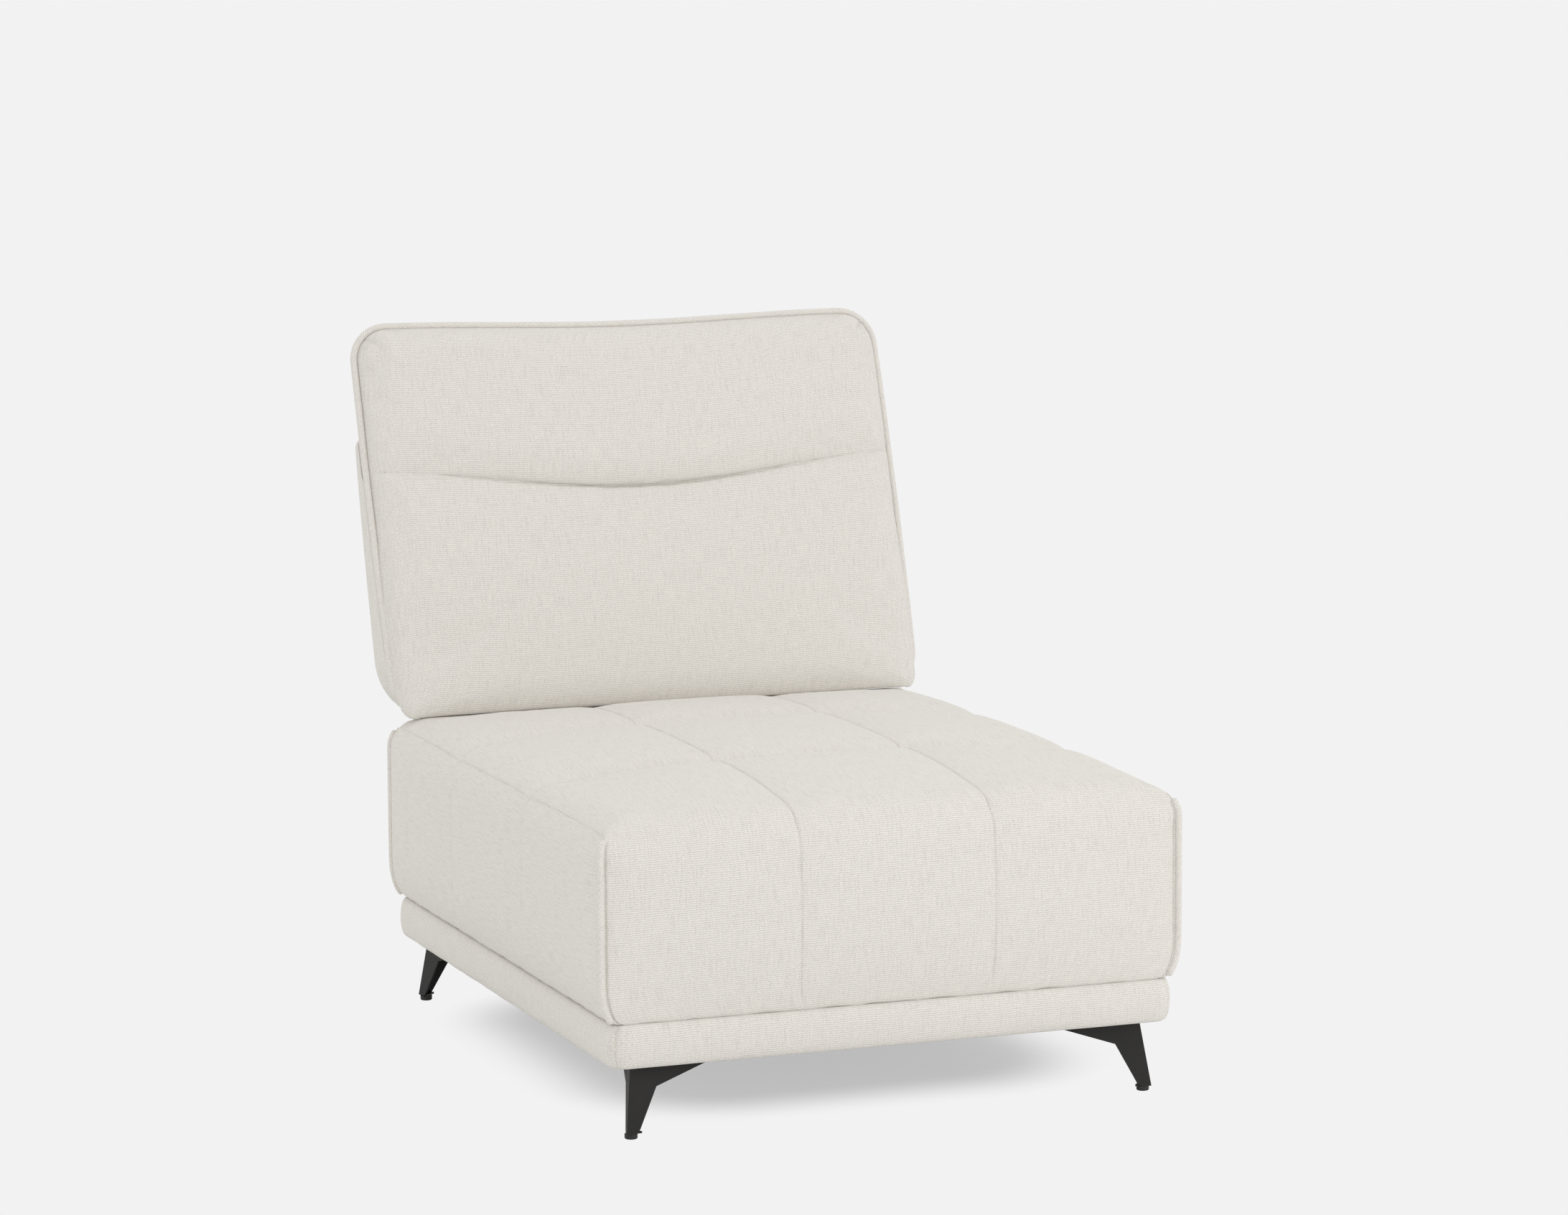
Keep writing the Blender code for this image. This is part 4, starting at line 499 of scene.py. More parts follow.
def makeSeatCover():
    wide, long, low, high, step = (seat[key] for key in ("halfWide", "halfLong", "parting", "top", "step"))
    ends = rollEnds(seat["edge"], 7)
    weltSeam = wide - seat["weltSeam"]
    across = spaced(-wide, wide, step, ends, channelLines(wide) + [weltSeam, -weltSeam])
    along = spaced(-long, long, step, ends, channelLines(long))
    plain = spaced(low, high, step)
    rises = np.unique(np.round(np.concatenate([
        plain[(plain > low + seat["tuck"]) & (plain < high - seat["edge"])], [low, high],
        [low + end for end in rollEnds(seat["tuck"])], [high - end for end in ends]]), 6))
    # the middle strip runs up the front, over the top and down the rear
    path = [(-long, z) for z in rises] + [(y, high) for y in along[1:-1]] + [(long, z) for z in rises[::-1]]
    flat = np.array([[(x, y, z) for x in across] for y, z in path])
    points = seatSkin(flat)
    overTop = np.stack([flat[..., 0], runLength(points, 0)], axis=-1)
    sheets = [(flat, points, overTop)]
    # the cloth runs on from the middle strip down the sides
    for side, column in ((-1, 0), (1, -1)):
        edgeRun = overTop[len(rises) - 1:len(rises) - 1 + len(along), column, 1]
        flat = np.array([[(side * wide, y, z) for y in along] for z in rises])
        points = seatSkin(flat)
        down = runLength(points, 0)
        cloth = np.stack([side * (wide + down[-1:] - down), np.broadcast_to(edgeRun, down.shape)], axis=-1)
        sheets.append((flat, points, cloth, side < 0))
    cover, flat = sewn("seatCover", *sheets)
    x, y, z = flat.T
    onSide, onEnd = np.abs(x) > wide - 0.0001, np.abs(y) > long - 0.0001
    nearX, nearY = (np.where(beyond, 1, np.min([np.abs(at - line) for line in channelLines(half)], axis=0))
                    for at, half, beyond in ((x, wide, onSide), (y, long, onEnd)))
    nearest = np.minimum(nearX, nearY)
    flatBehind = y > long - 0.03                                # under the hinge plates
    inflate(cover, (nearest < 0.001) | (z < low + 0.004) | (onSide & onEnd) | flatBehind,
            seat["pressure"], seat["cap"])
    # the sewn lines bite into the cover after it has swelled, and its foot is gathered
    bite = seat["seamDepth"] * np.exp(-(nearest / seat["seamWidth"]) ** 2) * unit((z - low) / 0.02)
    bite = bite * (1 - seat["seamCalm"] * nearSide(x))
    besideWelt = np.exp(-((np.abs(x) - weltSeam) / seat["seamWidth"]) ** 2)
    besideWelt = besideWelt * unit((seat["weltSeamTop"] - z) / 0.012)
    bite = bite + np.where(onEnd, seat["weltSeamDepth"] * besideWelt, 0)
    gathers = seat["gather"] * np.sin(x * 95 + np.sin(y * 31) * 2) * np.sin(y * 87 + 1.3 * np.sin(x * 23))
    bite = bite + gathers * np.exp(-((z - low) / seat["gatherHigh"]) ** 2)
    points = readPoints(cover.data) - readPoints(cover.data, "normal") * bite[:, None]
    points[:, 1] += seatMiddle
    setPoints(cover, points)
    brushed = np.where(onSide, 1, ease((y + long) / seat["brushedFrom"]))
    layer = cover.data.attributes.new("brushed", "FLOAT", "POINT")
    layer.data.foreach_set("value", brushed.astype(np.float32))
    closeUnder(cover)
    return cover


def closeUnder(cover):
    # turns the cover in below, up the frame's face and across under the springs, so that the form is closed
    frontLow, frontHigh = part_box("frame_board_front")
    halfWide = frontHigh.x + 0.0005
    frontY, rearY = frontLow.y - 0.0005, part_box("frame_board_rear")[1].y + 0.0005
    under = seatLow.z + 0.0003
    bm = openMesh(cover)
    rim = [edge for edge in bm.edges if edge.is_boundary]
    for height in (seat["parting"] + 0.0008, under):
        grown = bmesh.ops.extrude_edge_only(bm, edges=rim)["geom"]
        rim = [item for item in grown if isinstance(item, bmesh.types.BMEdge)]
        ring = {vert for edge in rim for vert in edge.verts}
        for vert in ring:
            vert.co = (min(max(vert.co.x, -halfWide), halfWide), min(max(vert.co.y, frontY), rearY), height)
        if height < under:                                      # the first ring is spread to the frame's face
            middle = sum((edge.verts[0].co for edge in rim), Vector()) / len(rim)
            for vert in ring:
                away = vert.co - middle
                scale = min(halfWide / max(abs(away.x), 1e-6), (rearY - frontY) / 2 / max(abs(away.y), 1e-6))
                vert.co.x = middle.x + away.x * scale
                vert.co.y = (frontY + rearY) / 2 + away.y * scale
    bmesh.ops.edgeloop_fill(bm, edges=rim)
    closeMesh(bm, cover, sharp=60)


dress(makeSeatCover(), "woven_fabric", "seat", "seat_cushion", "seat_pad_front", "seat_pad_rear", "seat_pad_left",
      "seat_pad_right", fill=0.85)
print("seat cover sewn")

# Welts up the seat's corners.
welt = {"radius": 0.0046, "low": 0.1585, "high": 0.3985, "count": 46, "out": 0.0016}


def makeWelts():
    corner = np.array([(seat["halfWide"], seat["halfLong"], height)
                       for height in np.linspace(welt["low"], welt["high"], welt["count"])])
    for sideY, end in ((-1, "Front"), (1, "Rear")):
        for sideX, hand in ((-1, "Left"), (1, "Right")):
            points = seatSkin(corner * (sideX, sideY, 1))
            points += np.array((sideX, sideY, 0)) / math.sqrt(2) * welt["out"]
            points[:, 1] += seatMiddle
            dress(cordTube("cornerWelt" + end + hand, points, welt["radius"]), "welt_fabric", "seat",
                  f"corner_welt_{end}_{hand}".lower())


makeWelts()
print("corner welts sewn in")

# The padded band round the base, with a seam in each corner.
band = {"low": 0.0956, "high": 0.1532, "halfWide": 0.3865, "halfLong": 0.4705, "bulge": 0.0125,
        "fullness": 0.65, "corner": 0.017, "inner": 0.0134, "seamDepth": 0.0028, "seamWidth": 0.0014,
        "wave": 0.0006, "step": 0.01, "cornerSteps": (0.0, 0.08, 0.18, 0.32, 0.5, 0.75, 1.0)}


def bandPath():
    # the band's back line from above: place, outward way, and distance from a corner's seam
    radius, steps, eighth = band["corner"], band["cornerSteps"], math.pi / 4
    turns = np.array(((1, -1), (1, 1), (-1, 1), (-1, -1)))
    centres = turns * (band["halfWide"] - radius, band["halfLong"] - radius)
    path = []
    for (signX, signY), centre, after in zip(turns, centres, np.roll(centres, -1, axis=0)):
        for step in (*[-step for step in steps[:0:-1]], *steps):
            angle = math.atan2(signY, signX) + eighth * step
            outward = np.array((math.cos(angle), math.sin(angle)))
            path.append((*(centre + radius * outward), *outward, abs(step) * radius * eighth))
        start, goal = centre + radius * outward, after + radius * outward
        count = int(math.dist(start, goal) / band["step"])
        path += [(*(start + (goal - start) * step / count), *outward, 1.0) for step in range(1, count)]
    return np.array(path + path[:1])


def makeBand():
    path = bandPath()
    low, high, inner = band["low"], band["high"], -band["inner"]
    turn = np.linspace(-math.pi / 2, math.pi / 2, 17)
    heights = (low + high) / 2 + (high - low) / 2 * np.sin(turn)
    bulge = band["bulge"] * np.cos(turn) ** band["fullness"]
    profile = [(inner, low + 0.0002), *zip(bulge, heights), (inner, high - 0.0002), (inner, low + 0.0002)]
    out, height = np.array(profile).T[..., None]
    run = runAlong(path[:, :2])
    seam = band["seamDepth"] * np.exp(-(path[:, 4] / band["seamWidth"]) ** 2)
    wave = band["wave"] * np.sin(run * 61) * np.sin(run * 23 + 1)
    outward = out - np.where(out > -0.001, seam, 0) + np.where(out > 0.004, wave, 0)
    points = np.stack([path[:, 0] + path[:, 2] * outward, path[:, 1] + path[:, 3] * outward,
                       np.broadcast_to(height, outward.shape)], axis=-1)
    points[:, -1] = points[:, 0]
    points[..., 1] += seatMiddle
    around = runLength(points, 0)
    cloth = np.stack([np.broadcast_to(run, around.shape), around], axis=-1)
    piece, _ = sewn("baseBand", (points, points, cloth))
    closeMesh(openMesh(piece), piece, sharp=50)
    return piece


dress(makeBand(), "woven_fabric", "seat", "base_band_front", "base_band_rear", "base_band_left", "base_band_right",
      fill=0.7)
print("base band padded")

# The back in its own frame: x across, depth behind the piped edge, height up the back.
back = {"rake": math.radians(19.6), "footY": 0.4426 + seatMiddle, "footZ": 0.419, "height": 0.588,
        "halfLow": 0.409, "halfHigh": 0.413, "bow": 0.003, "topSag": 0.008, "cornerRadius": 0.058,
        "piping": 0.0052, "pipingStep": 0.011, "pipingSway": 0.0004, "seamHigh": 0.3615, "seamSag": 0.0385,
        "seamSpan": 1.125, "blendDepth": 0.0115, "blendLow": 0.306, "blendHigh": 0.366}


def backPlace(x, depth, height):
    lean = back["rake"]
    return np.stack([x, back["footY"] + height * math.sin(lean) + depth * math.cos(lean),
                     back["footZ"] + height * math.cos(lean) - depth * math.sin(lean)], axis=-1)


def halfWidth(height):
    share = unit(height / back["height"])
    return back["halfLow"] + (back["halfHigh"] - back["halfLow"]) * share + back["bow"] * np.sin(share * math.pi)


def sagged(x, half):
    # 1 at the middle of a sagging line, falling to 0 at its ends
    return np.cos(np.minimum(1, np.abs(x) / half) * math.pi / 2) ** 2


def topDrop(x):
    return back["topSag"] * sagged(x, back["halfHigh"] - back["cornerRadius"])


def seamHeight(x):
    return back["seamHigh"] - back["seamSag"] * sagged(x, back["halfLow"] * back["seamSpan"])


def roundCorners(x, height, half, *corners):
    # draws a square grid's corners in: each is given as its end, 1 for low or -1 for high, and its radius
    for end, way, radius in corners:
        pastX, pastZ = np.abs(x) - (half - radius), radius - (height - end) * way
        inCorner = (pastX > 0) & (pastZ > 0)
        reach = np.maximum(pastX, pastZ) / np.maximum(np.hypot(pastX, pastZ), 1e-9)
        x = np.where(inCorner, np.sign(x) * (half - radius + pastX * reach), x)
        height = np.where(inCorner, end + way * (radius - pastZ * reach), height)
    return x, height


def fromRim(x, height, half, low, high):
    return np.min([half - np.abs(x), height - low, high - height], axis=0)


def uprightGrid(across, rows):
    flatX, flatH = np.meshgrid(across, rows)
    return flatX, flatH, np.stack([flatX, np.zeros_like(flatX), flatH], axis=-1)


def clothOver(points):
    return np.stack([runLength(points, 1), runLength(points, 0)], axis=-1)


panel = {"inset": 0.0094, "rim": 0.0024, "sideRoll": 0.030, "lowRoll": 0.052, "topRoll": 0.026,
         "depth": 0.030, "lowBelly": 0.016, "lowBellyAt": 0.13, "highBelly": 0.014, "highBellyAt": 0.30,
         "foldSink": 0.0145, "foldEnd": 0.0055, "foldUp": 0.028, "foldDown": 0.055, "foldHang": 0.0095,
         "frontCorner": 0.030, "rollEnd": 0.020, "sideOut": 0.0085, "cornerOut": 0.65, "cornerRise": 0.055,
         "stuffedTo": 0.29, "stuffedFade": 0.17, "gather": 0.0008, "drift": 0.0009,
         "step": 0.0095, "rowStep": 0.009, "pressure": 2.5, "cap": 0.004,
         # the lower roll bulges out over the piping and hides it: (share of the depth, height)
         "roll": ((0.0, 0.0094), (0.14, 0.0100), (0.24, 0.0066), (0.36, -0.0020), (0.51, -0.0078),
                  (0.66, -0.0062), (0.78, 0.0010), (0.88, 0.0130), (0.96, 0.0340), (1.0, 0.0628))}


def smoothRun(points, shares):
    # a smooth line through points, read at shares of its number of spans
    points = np.array(points)
    spans = len(points) - 1
    place = unit(shares) * spans
    number = np.minimum(place.astype(int), spans - 1)
    part = (place - number)[..., None]
    before, after = np.maximum(number - 1, 0), np.minimum(number + 2, spans)
    a, b, c, d = points[before], points[number], points[number + 1], points[after]
    return b + 0.5 * part * (c - a + part * (2 * a - 5 * b + 4 * c - d + part * (3 * (b - c) + d - a)))


def frontDepth(x, height, seam, high, half):
    # how far the cover stands in front of the piped edge, before the fold
    sides = quarterRound((half - np.abs(x)) / panel["sideRoll"])
    foot = smoothRun(panel["roll"], (height - panel["inset"]) / panel["lowRoll"])[..., 0]
    head = quarterRound((high - height) / panel["topRoll"])
    across = unit(1 - (x / half) ** 2)
    fullest = panel["lowBellyAt"]
    lower = unit(1 - ((height - fullest) / (seam - fullest)) ** 2)
    upper = unit(1 - ((height - seam) / (high - seam) - panel["highBellyAt"]) ** 2 / 0.49)
    belly = np.where(height < seam, panel["lowBelly"] * lower, panel["highBelly"] * upper)
    return (panel["depth"] + belly * across) * sides * foot * head


def frontRows(low, seam, high):
    # rows up the front: close together in the lower roll, beside the smile seam and in the top's roll
    up, down, step = panel["foldUp"], panel["foldDown"], panel["rowStep"]
    roll = low + panel["lowRoll"] * np.linspace(0, 1, 25)
    lowRows = np.concatenate([roll, spaced(roll[-1], seam, step)[1:]])
    nearFold = seam - down * (1 - np.linspace(0, 1, 15)) ** 1.3
    upRows = np.concatenate([seam + up * (1 - np.cos(np.linspace(0, math.pi / 2, 12)))[1:],
                             spaced(seam + up, high, step)[1:]])
    return np.concatenate([lowRows[lowRows < seam - down - 0.004], nearFold,
                           upRows[upRows < high - panel["topRoll"]],
                           [high - end for end in rollEnds(panel["topRoll"], 7)[::-1]], [high]])


def makeFrontCover():
    inset, topCorner, seamMid = panel["inset"], back["cornerRadius"] - panel["inset"], back["seamHigh"]
    high = back["height"] - inset
    half = halfWidth((inset + high) / 2) - inset
    across = spaced(-half, half, panel["step"], rollEnds(panel["sideRoll"], 8))
    flatX, flatH, grid = uprightGrid(across, frontRows(inset, seamMid, high))
    # rows bend to the smile seam and to the sagging top edge
    seam, top = seamHeight(flatX), high - topDrop(flatX)
    lowShare, upShare = (flatH - inset) / (seamMid - inset), (flatH - seamMid) / (high - seamMid)
    plainHeight = np.where(flatH <= seamMid, inset + (seam - inset) * lowShare, seam + (top - seam) * upShare)
    depth = frontDepth(flatX, plainHeight, seam, top, half)
    # above the seam the cover rolls under and hangs over it; below it the cover comes forward at once
    middle = np.cos(unit(np.abs(flatX) / half) * math.pi / 2) ** 0.8
    sink = panel["foldEnd"] + (panel["foldSink"] - panel["foldEnd"]) * middle
    upper = unit((flatH - seamMid) / panel["foldUp"])
    lower = unit((seamMid - flatH) / panel["foldDown"])
    above = flatH > seamMid - 1e-6
    fold = np.where(above, (1 - upper) ** 1.7, 0.84 * np.exp(-lower / 0.05) + 0.16 * (1 - lower) ** 2)
    depth = depth - sink * fold * unit(depth / panel["depth"])
    hang = np.where(above, np.sin(unit(upper * 1.15) * math.pi), 0)
    height = plainHeight - panel["foldHang"] * middle * hang
    # the lower roll bulges down, and fades out at its ends
    rolled = smoothRun(panel["roll"], (height - inset) / panel["lowRoll"])[..., 1] - height
    inRoll = (height < inset + panel["lowRoll"]) & (flatH < 0.2)
    bulge = np.where(inRoll, rolled * quarterRound((half - np.abs(flatX)) / panel["rollEnd"]), 0)
    # the rim follows the piping's round corners, the front of the roll has squarer ones
    radius = topCorner + (panel["frontCorner"] - topCorner) * unit(depth / 0.010)
    x, height = roundCorners(flatX, height, half, (inset, 1, radius))
    # the lower part is stuffed full and swells out over the piping at its sides and corners
    stuffed = panel["sideOut"] * ease((panel["stuffedTo"] - flatH) / panel["stuffedFade"])
    cornerShare = ease((flatH - inset) / panel["cornerRise"])
    stuffed = stuffed * (panel["cornerOut"] + (1 - panel["cornerOut"]) * cornerShare)
    stuffed = stuffed * ease((np.abs(flatX) - half + 0.045) / 0.035) * unit(depth / 0.008)
    x, height = roundCorners(x + np.sign(flatX) * stuffed, height + bulge, half, (top, -1, topCorner))
    front = backPlace(x * (halfWidth(height) - inset) / half, panel["rim"] - depth, height)
    cloth = clothOver(front)
    cover, flat = sewn("backFrontCover", (grid, front, cloth))
    x, _, height = flat.T
    edge = fromRim(x, height, half, inset, high)
    away = height - seamMid
    inflate(cover, (edge < 0.002) | (np.abs(away) < 0.0015), panel["pressure"], panel["cap"])
    # small gathers above and below the smile seam, and a slow drift over the whole panel
    nearSeam = np.exp(-(away / np.where(away > 0, 0.020, 0.030)) ** 2) * (np.abs(away) > 0.0015)
    gathers = panel["gather"] * np.sin(x * 74 + 1.5 * np.sin(x * 19)) * np.sin(x * 29 + 0.7)
    drift = panel["drift"] * np.sin(x * 11 + 2 * np.sin(height * 9)) * np.sin(height * 14 + 1)
    amount = (gathers * nearSeam + drift) * unit(edge / 0.02)
    setPoints(cover, readPoints(cover.data) + readPoints(cover.data, "normal") * amount[:, None])
    # a plain inner side closes the form against the boards
    x, height = roundCorners(flatX, plainHeight, half, (inset, 1, topCorner), (top, -1, topCorner))
    rear = backPlace(x * (halfWidth(height) - inset) / half, np.full_like(x, panel["rim"]), height)
    inner, _ = sewn("inner", (grid, rear, cloth, True))
    bm = openMesh(cover)
    bm.from_mesh(inner.data)
    bmesh.ops.remove_doubles(bm, verts=[vert for vert in bm.verts if vert.is_boundary], dist=0.0012)
    closeMesh(bm, cover, sharp=75)
    bpy.data.objects.remove(inner, do_unlink=True)
    return cover


def bendAtHeadrest(piece):
    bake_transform(piece)


frontCover = makeFrontCover()
dress(frontCover, "woven_fabric", None, "back_cushion", "headrest_cushion", fill=0.8)
bendAtHeadrest(frontCover)
print("back's front cover sewn")


def pipingPath():
    # round the back's outline: quarter turns at the corners, then bowed out at the sides and sagged on top
    corner, cord = back["cornerRadius"], back["piping"]
    radius, low, high = corner - cord, corner, back["height"] - corner
    atLow, atHigh = halfWidth(low) - cord - radius, halfWidth(high) - cord - radius
    turns = [(x + radius * math.cos(angle), height + radius * math.sin(angle))
             for x, height, quarter in ((-atLow, low, 2), (atLow, low, 3), (atHigh, high, 0), (-atHigh, high, 1))
             for angle in (quarter + np.linspace(0, 1, 14)) * math.pi / 2]
    path = []
    for start, end in zip(turns, turns[1:] + turns[:1]):
        count = max(1, int(math.dist(start, end) / back["pipingStep"]))
        path += [np.add(start, np.subtract(end, start) * step / count) for step in range(count)]
    x, height = np.array(path).T
    along = unit((height - low) / (high - low))
    x = x * (halfWidth(low + (high - low) * along) / (halfWidth(low) * (1 - along) + halfWidth(high) * along))
    height = height - np.where(height > back["height"] - cord - 0.0005, topDrop(x), 0)
    return backPlace(x, back["pipingSway"] * np.sin(x * 47 + height * 39), height)


piping = cordTube("backPiping", pipingPath(), back["piping"], closed=True)
dress(piping, "welt_fabric", None, "back_piping", "headrest_piping")
bendAtHeadrest(piping)
print("piping laid")

# The rear of the back: a padded wedge below, a flat pad behind the headrest, both hollow for the boards.
rearPocket = {"halfWide": 0.376, "low": 0.027, "lapWide": 0.0035, "lapFront": 0.0064, "lapRear": 0.0245,
              "wall": 0.0012, "step": 0.012, "pressure": 2.0}
rearForms = {
    "rearHousingCover": {"low": 0.008, "high": 0.420, "spread": 0.002, "front": 0.0058, "deepLow": 0.076,
                         "deepHigh": 0.032, "edge": 0.020, "lowCorner": 0.085, "highCorner": 0.014,
                         "belly": 0.006, "pocket": 0.0262, "lip": 0.0016, "lipSpread": 0.0003, "pocketHigh": 1,
                         "lapFrom": 0.3622, "cap": 0.004, "body": "back", "node": "rear_housing"},
    "headrestRearCover": {"low": 0.364, "high": 0.582, "spread": -0.006, "front": 0.0058, "deepLow": 0.019,
                          "deepHigh": 0.0185, "edge": 0.009, "lowCorner": 0.008, "highCorner": 0.044,
                          "belly": 0.0, "pocket": 0.0166, "lip": 0.0058, "lipSpread": 0, "pocketHigh": 0.560,
                          "lapFrom": 1, "cap": 0.002, "body": "headrest", "node": "headrest_rear_pad"}}


def makeRearForm(name, form):
    low, high, edge, step = form["low"], form["high"], form["edge"], rearPocket["step"]
    half = halfWidth((low + high) / 2) + form["spread"]
    ends = rollEnds(edge)
    flatX, flatH, grid = uprightGrid(spaced(-half, half, step, ends), spaced(low, high, step, ends))
    # outer side: a wedge with rolled edges and a little belly
    fall = (high - flatH) / (high - low)
    deep = form["deepHigh"] + (form["deepLow"] - form["deepHigh"]) * fall
    rolled = (quarterRound((half - np.abs(flatX)) / edge) * quarterRound((flatH - low) / edge)
              * quarterRound((high - flatH) / edge))
    swell = form["belly"] * unit(1 - (flatX / half) ** 2) * np.sin(unit(fall) * math.pi)
    depth = deep - np.minimum(edge, (deep - form["front"]) * 0.8) * (1 - rolled) + swell
    x, height = roundCorners(flatX, flatH, half, (low, 1, form["lowCorner"]), (high, -1, form["highCorner"]))
    if form["body"] == "headrest":
        height = height - topDrop(x) * (height - low) / (high - low)
    across = x / half
    x = across * (halfWidth(height) + form["spread"])
    outer = backPlace(x, depth, height)
    cloth = clothOver(outer)
    # inner side: pocketed for the boards and hinges, with a lip that reaches in beside the piping
    atRim = fromRim(flatX, flatH, half, low, high) < 0.001
    inPocket = (np.abs(x) < rearPocket["halfWide"]) & (height < form["pocketHigh"]) & (height > rearPocket["low"])
    innerDepth = np.where(inPocket, form["pocket"], np.where(atRim, form["lip"], form["front"]))
    # behind the headrest the inner side stands back, but for a narrow lip beside the piping
    lap = np.where(np.abs(flatX) > half - rearPocket["lapWide"], rearPocket["lapFront"], rearPocket["lapRear"])
    innerDepth = np.minimum(np.where(height > form["lapFrom"], lap, innerDepth), depth - rearPocket["wall"])
    inner = backPlace(across * (halfWidth(height) + min(form["spread"], form["lipSpread"])), innerDepth, height)
    # side walls between the two, their ribs level up both sides
    place = np.arange(x.size).reshape(x.shape)
    rim = np.concatenate([place[0, :-1], place[:-1, -1], place[-1, :0:-1], place[::-1, 0]])
    rimFlat, rimOuter, rimInner = (sheet.reshape(-1, 3)[rim] for sheet in (grid, outer, inner))
    shares = np.linspace(0, 1, 7)[:, None, None]
    wall = rimOuter + (rimInner - rimOuter) * shares
    wallCloth = np.stack([runLength(wall, 0), np.broadcast_to(runAlong(wall[0]), wall.shape[:2])], axis=-1)
    piece, flat = sewn(name, (grid, outer, cloth), (rimFlat + np.array((0, 1, 0)) * shares, wall, wallCloth),
                       (grid + (0, 1, 0), inner, cloth, True))
    x, inward, height = flat.T
    held = (fromRim(x, height, half, low, high) < 0.002) | (inward > 0.001)
    inflate(piece, held, rearPocket["pressure"], form["cap"])
    closeMesh(openMesh(piece), piece, sharp=60)
    dress(piece, "woven_fabric", form["body"], form["node"], fill=0.75)


for name, form in rearForms.items():
    makeRearForm(name, form)
print("rear covers sewn")

# The lining stapled under the frame, its corners cut off on the slant, clear of the legs.
underLining = {"corner": 0.170, "sag": 0.005, "sagRun": 0.20, "wave": 0.0006, "thick": 0.0011, "up": 0.0001}


def makeUnderLining():
    low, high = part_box("dust_cover")
    halfWide, halfLong = (high.x - low.x) / 2, (high.y - low.y) / 2
    cut = underLining["corner"]
    x, y = np.meshgrid(np.linspace(-halfWide, halfWide, 49), np.linspace(-halfLong, halfLong, 61))
    cloth = np.stack([x, y], axis=-1)
    flat = np.stack([x, y, np.zeros_like(x)], axis=-1)
    over = np.maximum(0, np.abs(x) + np.abs(y) - (halfWide + halfLong - cut))
    edge = unit(np.minimum(halfWide - np.abs(x), halfLong - np.abs(y)) / underLining["sagRun"])
    sag = underLining["sag"] * ease(edge) + underLining["wave"] * edge * np.sin(x * 41 + y * 9) * np.sin(y * 33)
    top = np.stack([x - np.sign(x) * over / 2, y - np.sign(y) * over / 2 + (low.y + high.y) / 2,
                    high.z - underLining["up"] - sag], axis=-1)
    sheet, _ = sewn("underLining", (flat, top, cloth),
                    (flat - (0, 0, 1), top - (0, 0, underLining["thick"]), cloth, True))
    bm = openMesh(sheet)
    bmesh.ops.bridge_loops(bm, edges=[edge for edge in bm.edges if edge.is_boundary])
    closeMesh(bm, sheet)
    dress(sheet, "lining", "seat", "dust_cover")


makeUnderLining()
print("lining stapled under the frame")

# Floor, light and camera. The focal length is in pixels of a picture that is photoWide wide.
# the shadow keys shape the floor's painted fill, which lightens the real shadow under the chair and hides it
# further out
studio = {"floorHalf": 9.0, "shadowFrom": -0.130, "shadowTo": 0.035, "shadowRound": 0.25,
          "shadowBack": 0.035, "shadowRight": 0.010, "shadowShare": 0.46, "background": "#F2F2F2",
          "floor": "#F4F4F4", "worldStrength": 0.97, "lookAt": (0.025, 0.0, 0.613), "azimuth": 20.815,
          "elevation": 7.782, "roll": -0.294, "distance": 6.956, "focalPixels": 7003.35, "photoWide": 2184}


def makeFloor():
    half, rounding = studio["floorHalf"], studio["shadowRound"]
    mesh = bpy.data.meshes.new("studioFloor")
    mesh.from_pydata([(-half, -half, 0), (half, -half, 0), (half, half, 0), (-half, half, 0)], [], [(0, 1, 2, 3)])
    floor = newObject("studioFloor", mesh)
    material, shader, add = newMaterial("studioFloorWithPaintedFill")   # matt white paint, no gloss; its real soft shadow is lightened by a painted fill below
    plug(shader, {"Base Color": studio["floor"], "Roughness": 1.0, "Specular IOR Level": 0.0})
    # how far a place lies outside the seat's footprint, measured from a round-cornered rectangle; this mask shapes
    # the painted fill
    right, behind, nowhere = studio["shadowRight"], studio["shadowBack"], (0, 0, 0)
    core = (seat["halfWide"] - right - rounding, seat["halfLong"] - behind - rounding, 0)
    past = add("NewGeometry").outputs["Position"]
    for operation, value in (("SUBTRACT", (right, seatMiddle + behind, 0)), ("ABSOLUTE", nowhere),
                             ("SUBTRACT", core), ("MAXIMUM", nowhere), ("LENGTH", nowhere)):
        past = add("VectorMath", {0: past, 1: value}, operation)
    far = add("MapRange", {"Value": past, "From Min": rounding + studio["shadowFrom"],
                           "From Max": rounding + studio["shadowTo"]}, interpolation_type="SMOOTHSTEP")
    # painted fill light: the camera sees a flat glow of the background colour over part of the real shade under
    # the chair, in place of light off a white floor far around, and over all of it further out
    paintedFillShare = add("MapRange", {"Value": far, "To Min": 1 - studio["shadowShare"]})
    share = add("Math", {0: paintedFillShare, 1: add("LightPath").outputs["Is Camera Ray"]}, "MULTIPLY")
    plain = add("Emission", {"Color": studio["background"]})
    mixed = add("MixShader", {0: share, 1: shader, 2: plain})
    plug(material.node_tree.nodes["Material Output"], {"Surface": mixed})
    mesh.materials.append(material)


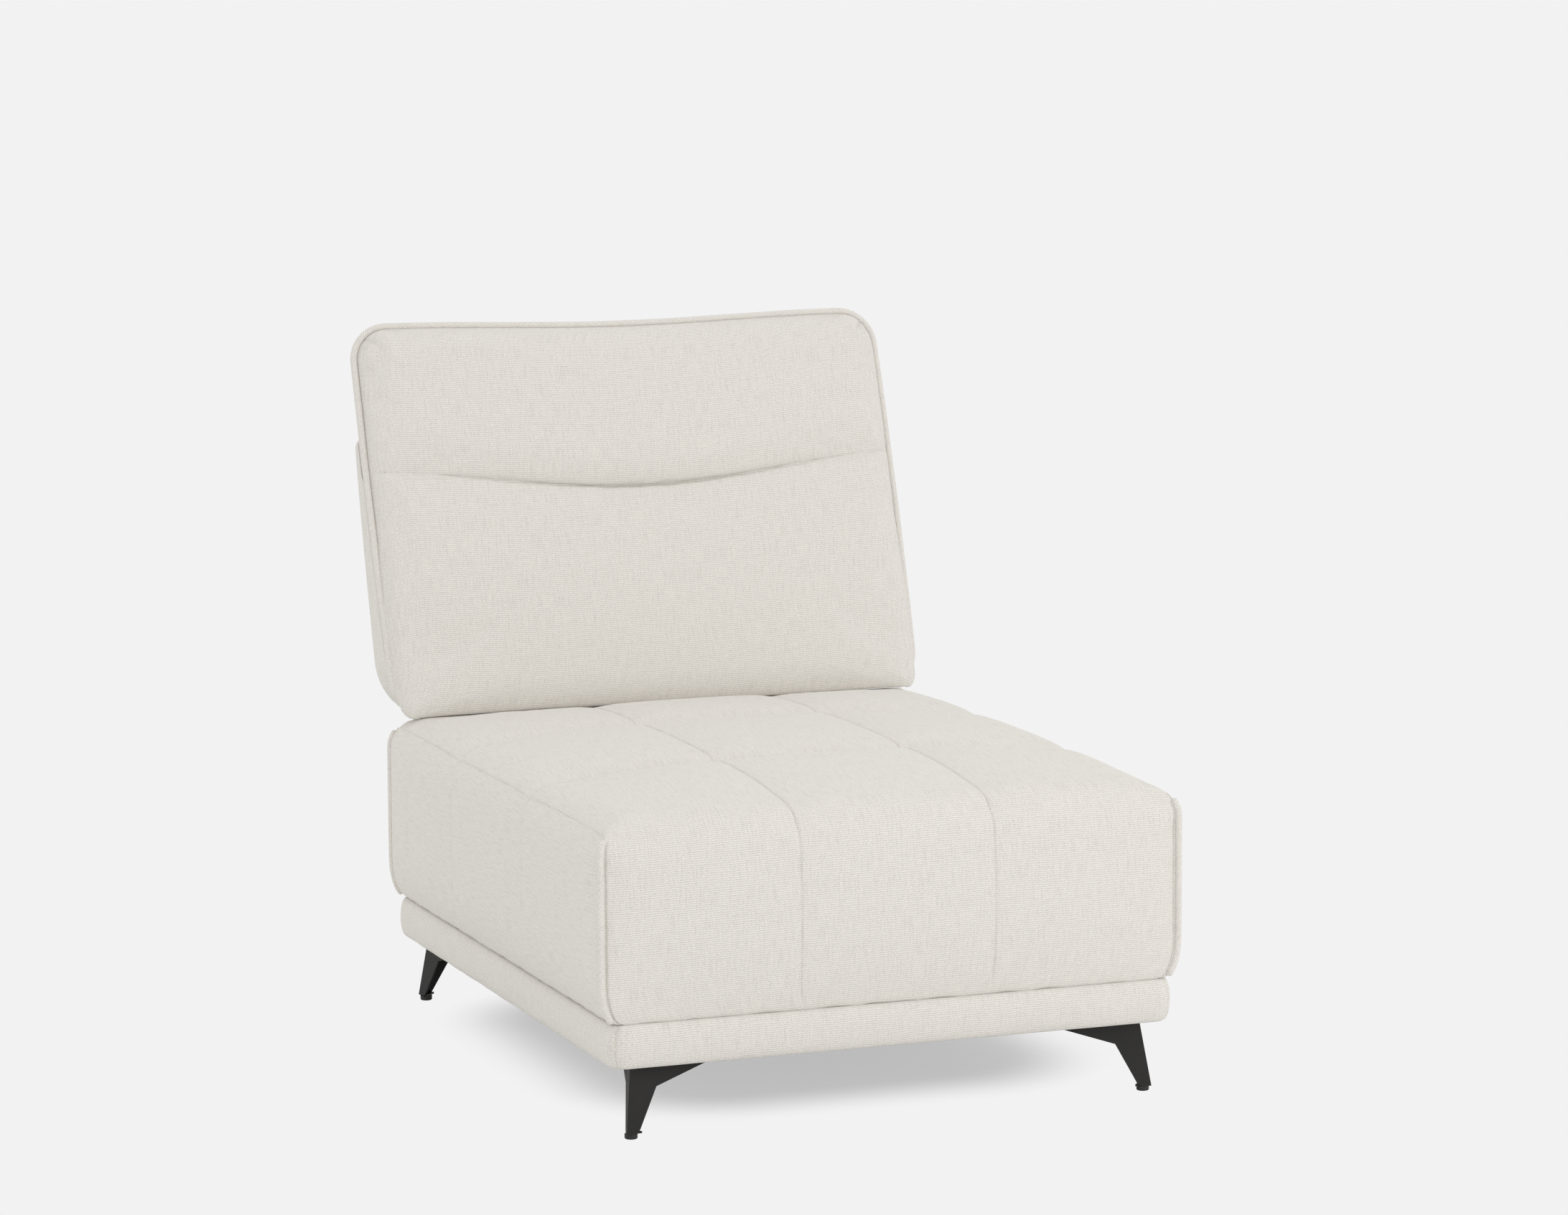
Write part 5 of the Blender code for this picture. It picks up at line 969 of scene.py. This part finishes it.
def makeWorld():
    # white light, and the pale background for what the camera sees directly, in a glint or through a piece
    world = bpy.data.worlds.new("studio")
    world.use_nodes = True
    tree = world.node_tree
    plain = plug(tree.nodes["Background"], {"Color": "#FFFFFF", "Strength": studio["worldStrength"]})
    pale = addNode(tree, "Background", {"Color": studio["background"]})
    seen = addNode(tree, "LightPath").outputs
    either = addNode(tree, "Math", {0: seen["Is Camera Ray"], 1: seen["Is Glossy Ray"]}, "MAXIMUM")
    shown = addNode(tree, "Math", {0: either, 1: seen["Is Transmission Ray"]}, "MAXIMUM")
    plug(tree.nodes["World Output"], {"Surface": addNode(tree, "MixShader", {0: shown, 1: plain, 2: pale})})
    scene.world = world


softBoxes = {"keySoftBox": {"at": (1.7, -3.0, 1.5), "size": 2.6, "power": 18.5},
             "topSoftBox": {"at": (-0.2, 0.3, 3.8), "size": 3.0, "power": 2}}
lampsAim = (0, 0, 0.4)


def makeLamps():
    for name, box in softBoxes.items():
        light = bpy.data.lights.new(name, "AREA")
        light.shape = "SQUARE"
        light.size = box["size"]
        light.energy = box["power"]
        lamp = newObject(name, light)
        lamp.location = box["at"]
        lamp.rotation_euler = (Vector(lampsAim) - Vector(box["at"])).to_track_quat("-Z", "Y").to_euler()


def makeCamera():
    azimuth, elevation, roll = (math.radians(studio[key]) for key in ("azimuth", "elevation", "roll"))
    away = Vector((-math.sin(azimuth) * math.cos(elevation), -math.cos(azimuth) * math.cos(elevation),
                   math.sin(elevation)))
    right = (-away).cross(Vector((0, 0, 1))).normalized()
    up = right.cross(-away)
    right, up = right * math.cos(roll) + up * math.sin(roll), up * math.cos(roll) - right * math.sin(roll)
    place = Vector(studio["lookAt"]) + Vector((0, seatMiddle, 0)) + away * studio["distance"]
    camera = newObject("camera", bpy.data.cameras.new("camera"))
    camera.matrix_world = Matrix.Translation(place) @ Matrix((right, up, away)).transposed().to_4x4()
    camera.data.lens = studio["focalPixels"] / studio["photoWide"] * camera.data.sensor_width
    camera.data.clip_end = 100
    scene.camera = camera


makeFloor()
makeWorld()
makeLamps()
makeCamera()
scene.view_settings.view_transform = "Standard"
print("studio set")
